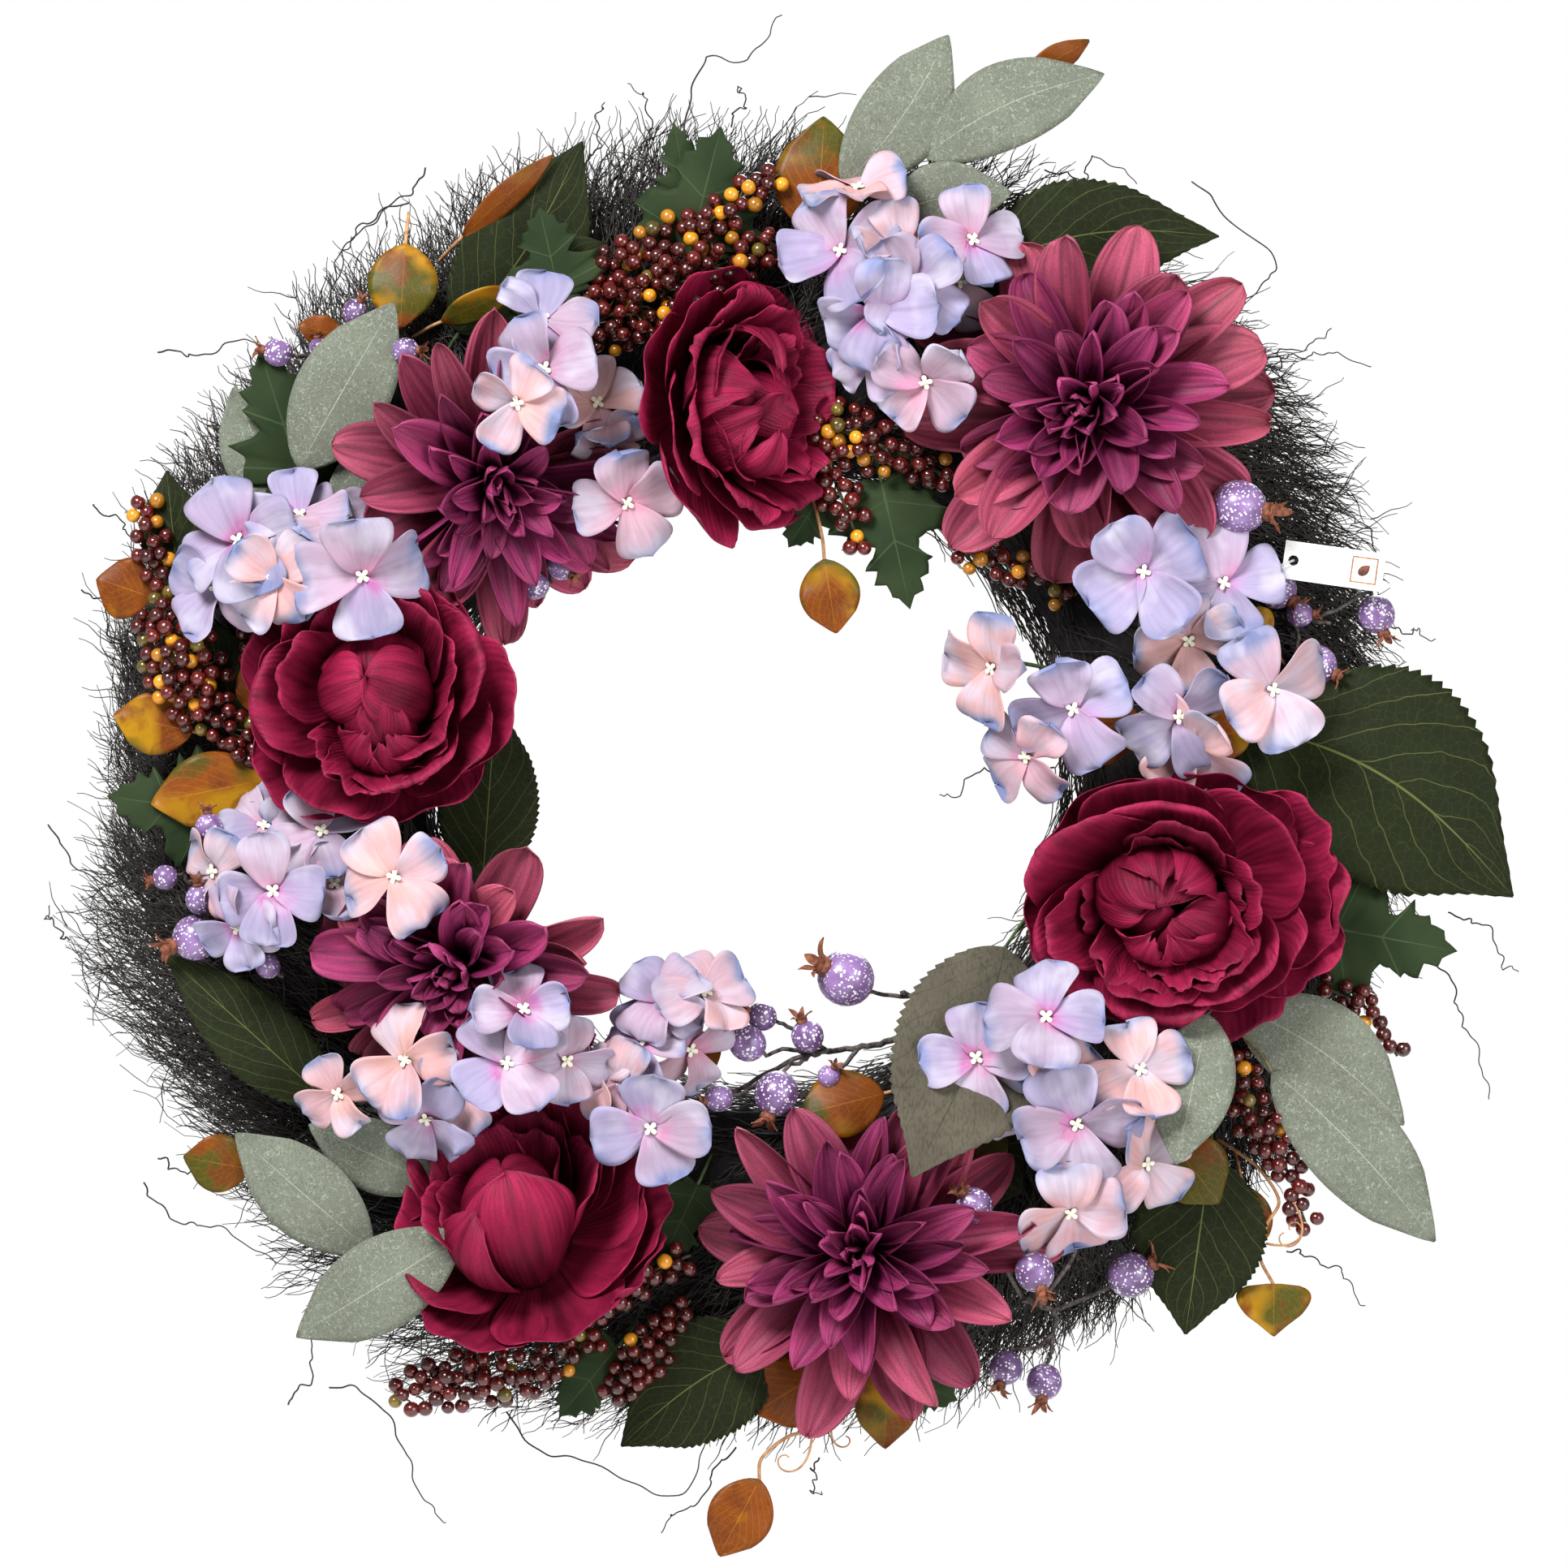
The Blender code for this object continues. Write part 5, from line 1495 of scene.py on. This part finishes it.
wisps = [
    [(-30, 272, -18), (-27, 291, -18), (-21, 302, -16), (-3, 304, -14), (3, 312, -14), (11, 321, -14)],
    [(122, 257, -22), (136, 253, -20), (143, 261, -18), (160, 252, -18)],
    [
        (184, 252, -20), (197, 241, -18), (217, 220, -18), (214, 207, -20), (206, 200, -22),
        (194, 197, -26),
    ],
    [(207, 163, -24), (223, 180, -20), (245, 188, -18)],
    [(221, 173, -24), (231, 180, -20), (258, 175, -18)],
    [(126, 5, -14), (105, 3, -10), (92, 2, -10), (87, -5, -10), (75, -7, -8)],
    [(-180, -257, -28), (-162, -260, -26), (-149, -282, -24), (-139, -303, -24), (-132, -312, -24)],
    [
        (-105, -267, -26), (-92, -282, -24), (-65, -291, -22), (-37, -302, -20), (-24, -286, -22),
        (-22, -269, -26),
    ],
    [(-8, -282, -26), (-24, -302, -22), (-40, -317, -20)],
    [(284, -75, -18), (296, -92, -14), (301, -112, -14), (311, -133, -14)],
    [(292, -56, -18), (306, -61, -14), (313, -75, -14), (322, -82, -14)],
    [(-298, -19, -20), (-289, -34, -22), (-272, -44, -26), (-255, -51, -28)],
    [(-284, 80, -20), (-274, 73, -22), (-270, 61, -24), (-255, 54, -28)],
    [(-252, 180, -22), (-235, 180, -24), (-214, 184, -26), (-204, 177, -28)],
    [(-139, 258, -22), (-144, 247, -24), (-163, 236, -24), (-172, 224, -26), (-180, 207, -28)],
    [(-146, 243, -22), (-167, 235, -24), (-173, 218, -26), (-185, 197, -28)],
    [(-258, -170, -24), (-248, -184, -24), (-228, -189, -24), (-204, -204, -28)],
    [(-252, -160, -24), (-238, -165, -24), (-221, -163, -28)],
    [(-197, -264, -24), (-189, -252, -26), (-185, -238, -28), (-173, -228, -28)],
    [(262, 65, -22), (275, 63, -20), (285, 60, -20)],
    [(262, 92, -22), (255, 109, -24), (235, 122, -28)],
    [(27, -286, -22), (24, -296, -22), (28, -303, -22)],
    [(105, 95, -16), (100, 85, -12), (107, 73, -10)],
    [(224, -199, -20), (241, -204, -20), (258, -221, -20)],
    [(-279, 116, -20), (-265, 105, -22), (-252, 102, -26)],
    [(-289, -68, -22), (-296, -61, -20), (-299, -54, -20)],
    [(-71, 257, -22), (-66, 272, -20), (-65, 287, -20)],
    [(-48, 265, -22), (-44, 282, -20), (-53, 294, -20)],
    [(-10, 275, -22), (-5, 287, -20), (-7, 292, -20)],
]
basket = newBasket()
rng = np.random.RandomState(450)
for wisp in wisps:
    path = smoothPath(wisp, 60)
    s = np.linspace(0, 1, 60)[:, None]
    for cycles, size in ((1.7, 1.6), (4.3, 0.8), (9, 0.35)):
        path = path + size * np.sin(2 * math.pi * cycles * s + rng.uniform(0, 6.3, 3)) * np.minimum(s * 6, 1)
    tubes(basket, path, 0.4, 4, 0.6, 0.2)
makePiece("twigWisps", basket, [twigSkin], ())
print("twigs laid")


tagMark = {"cardLength": 42.0, "cardWidth": 16.0, "side": 11.0, "line": 0.6, "fromEnd": 2.6, "lift": 0.12}


def tagMarkPiece():
    low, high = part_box("tag_card")
    length, width = tagMark["cardLength"], tagMark["cardWidth"]
    lean = math.asin(((high.z - low.z) * length - (high.x - low.x) * width) * 1000 / (length**2 - width**2))
    along = np.array((math.cos(lean), -math.sin(lean), 0))
    up = np.array((math.sin(lean), math.cos(lean), 0))
    middle = (low + high) / 2 - wreathMiddle
    face = (matFront - low.y) * 1000 + tagMark["lift"]
    half, line = tagMark["side"] / 2, tagMark["line"]
    centre = np.array((middle.x * 1000, middle.z * 1000, face))
    centre = centre + along * (length / 2 - tagMark["fromEnd"] - half)
    basket = newBasket()
    corners = [(-1, -1), (1, -1), (1, 1), (-1, 1)]
    rings = [[centre + along * x * r + up * y * r for x, y in corners] for r in (half, half - line)]
    quads = [[k, (k + 1) % 4, (k + 1) % 4 + 4, k + 4] for k in range(4)]
    spread(basket, np.array(rings), quads, (0, 0, 0), 0.5, 0)
    v, u = np.meshgrid(np.linspace(0, 1, 13), np.linspace(-1, 1, 7), indexing="ij")
    x, y = (v - 0.5) * half * 1.1, u * half * 0.36 * np.sin(math.pi * v**0.8) ** 0.8
    leaf = centre + ((x + y) * 0.7071)[..., None] * along + ((x - y) * 0.7071)[..., None] * up
    addSheet(basket, leaf, (0.5, 0, 0) + np.zeros((*u.shape, 3)), 0.1, 1)
    makePiece("tagMark", basket, [tanSkin, calyxSkin], (), 0.08, "tag")


tagMarkPiece()
print("tag marked")


def paintedWire(name, colour, rough):
    skin = newSkin(name, rough=rough, gloss=0.5)
    grain = specks(skin, 900, 3.0)
    base = shades(skin, grain, (0.35, colour), (0.7, tuple(c * 1.8 + 0.01 for c in colour)))
    rough = greys(skin, grain, (0.3, rough - 0.1), (0.7, rough + 0.15))
    return dressSkin(skin, base, rough, ((grain, 0.05, 0.4),))


def tagPaper():
    skin = newSkin("tagPaper", rough=0.75, gloss=0.3)
    fibre = specks(skin, 1200, 4.0)
    base = shades(skin, fibre, (0.35, (0.80, 0.80, 0.78)), (0.65, (0.90, 0.90, 0.89)))
    return dressSkin(skin, base, None, ((fibre, 0.03, 0.4),))


def clearNylon():
    skin = newSkin("clearNylon", rough=0.15, through=0.7, colour=(0.92, 0.94, 0.95, 1), gloss=0.5)
    return dressSkin(skin, None, None, ((specks(skin, 700, 2.0), 0.03, 0.3),))


frameWire = paintedWire("frameWire", (0.012, 0.012, 0.012), 0.4)
tieWire = paintedWire("tieWire", (0.012, 0.030, 0.012), 0.5)
keptSkins = {
    "wire_frame": frameWire,
    "hanging_loop": frameWire,
    "tag_card": tagPaper(),
    "tag_fastener": clearNylon(),
}
for name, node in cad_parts.items():
    skin = keptSkins.get(name)
    if name.startswith("tie_wire"):
        skin = tieWire
    elif name.endswith("_stem"):
        skin = stemSkin
    if skin:
        node.data.materials.clear()
        node.data.materials.append(skin)
print("wires and tag finished")


studio = {  # the camera, then each light's place from the wreath, width and power
    "distance": 3.4, "width": 0.657, "sensor": 36, "aim": (0.0122, -0.002),
    "floorDrop": 0.42, "floorReach": 2.2, "air": 0.30,
    "keyLight": ((-0.9, -1.7, 1.5), 1.0, 86),
    "fillLight": ((1.6, -1.8, 0.2), 1.6, 34),
    "backLight": ((0.3, 1.8, 1.2), 1.4, 34),
}

floorHeight = cadLow.z - studio["floorDrop"]
floorMesh = bmesh.new()
bmesh.ops.create_circle(floorMesh, cap_ends=True, segments=96, radius=studio["floorReach"])
mesh = bpy.data.meshes.new("floor")
floorMesh.to_mesh(mesh)
floorMesh.free()
floor = bpy.data.objects.new("floor", mesh)
floor.location = (0, 0.2, floorHeight)
bpy.context.scene.collection.objects.link(floor)
floorSkin = newSkin("paleFloor", rough=0.8, gloss=0.2)
floorGrain = specks(floorSkin, 40, 3.0)
dressSkin(floorSkin, shades(floorSkin, floorGrain, (0.3, (0.80, 0.80, 0.80)), (0.7, (0.84, 0.84, 0.83))))
mesh.materials.append(floorSkin)


def softLight(name, spot, size, power, aim):
    lamp = bpy.data.lights.new(name, "AREA")
    lamp.shape = "DISK"
    lamp.size = size
    lamp.energy = power
    holder = bpy.data.objects.new(name, lamp)
    holder.location = spot
    holder.rotation_euler = (Vector(aim) - Vector(spot)).to_track_quat("-Z", "Y").to_euler()
    bpy.context.scene.collection.objects.link(holder)


target = Vector((wreathMiddle.x, matFront, wreathMiddle.z))
for name in ("keyLight", "fillLight", "backLight"):
    place, size, power = studio[name]
    softLight(name, target + Vector(place), size, power, target)

world = bpy.data.worlds.new("studioAir")
world.use_nodes = True
bpy.context.scene.world = world
air = world.node_tree
path = air.nodes.new("ShaderNodeLightPath")
strength = air.nodes.new("ShaderNodeMapRange")
strength.inputs["To Min"].default_value = studio["air"]
strength.inputs["To Max"].default_value = 1.0
air.links.new(path.outputs["Is Camera Ray"], strength.inputs["Value"])
backdrop = air.nodes["Background"]
backdrop.inputs["Color"].default_value = (1, 1, 1, 1)
air.links.new(strength.outputs[0], backdrop.inputs["Strength"])

camera = bpy.data.cameras.new("studioCamera")
camera.sensor_width = studio["sensor"]
camera.lens = studio["sensor"] * studio["distance"] / studio["width"]
camera.clip_end = 30
stand = bpy.data.objects.new("studioCamera", camera)
aimRight, aimUp = studio["aim"]
stand.location = (wreathMiddle.x + aimRight, matFront - studio["distance"], wreathMiddle.z + aimUp)
stand.rotation_euler = (math.pi / 2, 0, 0)
bpy.context.scene.collection.objects.link(stand)
bpy.context.scene.camera = stand
bpy.context.scene.view_settings.view_transform = "Standard"
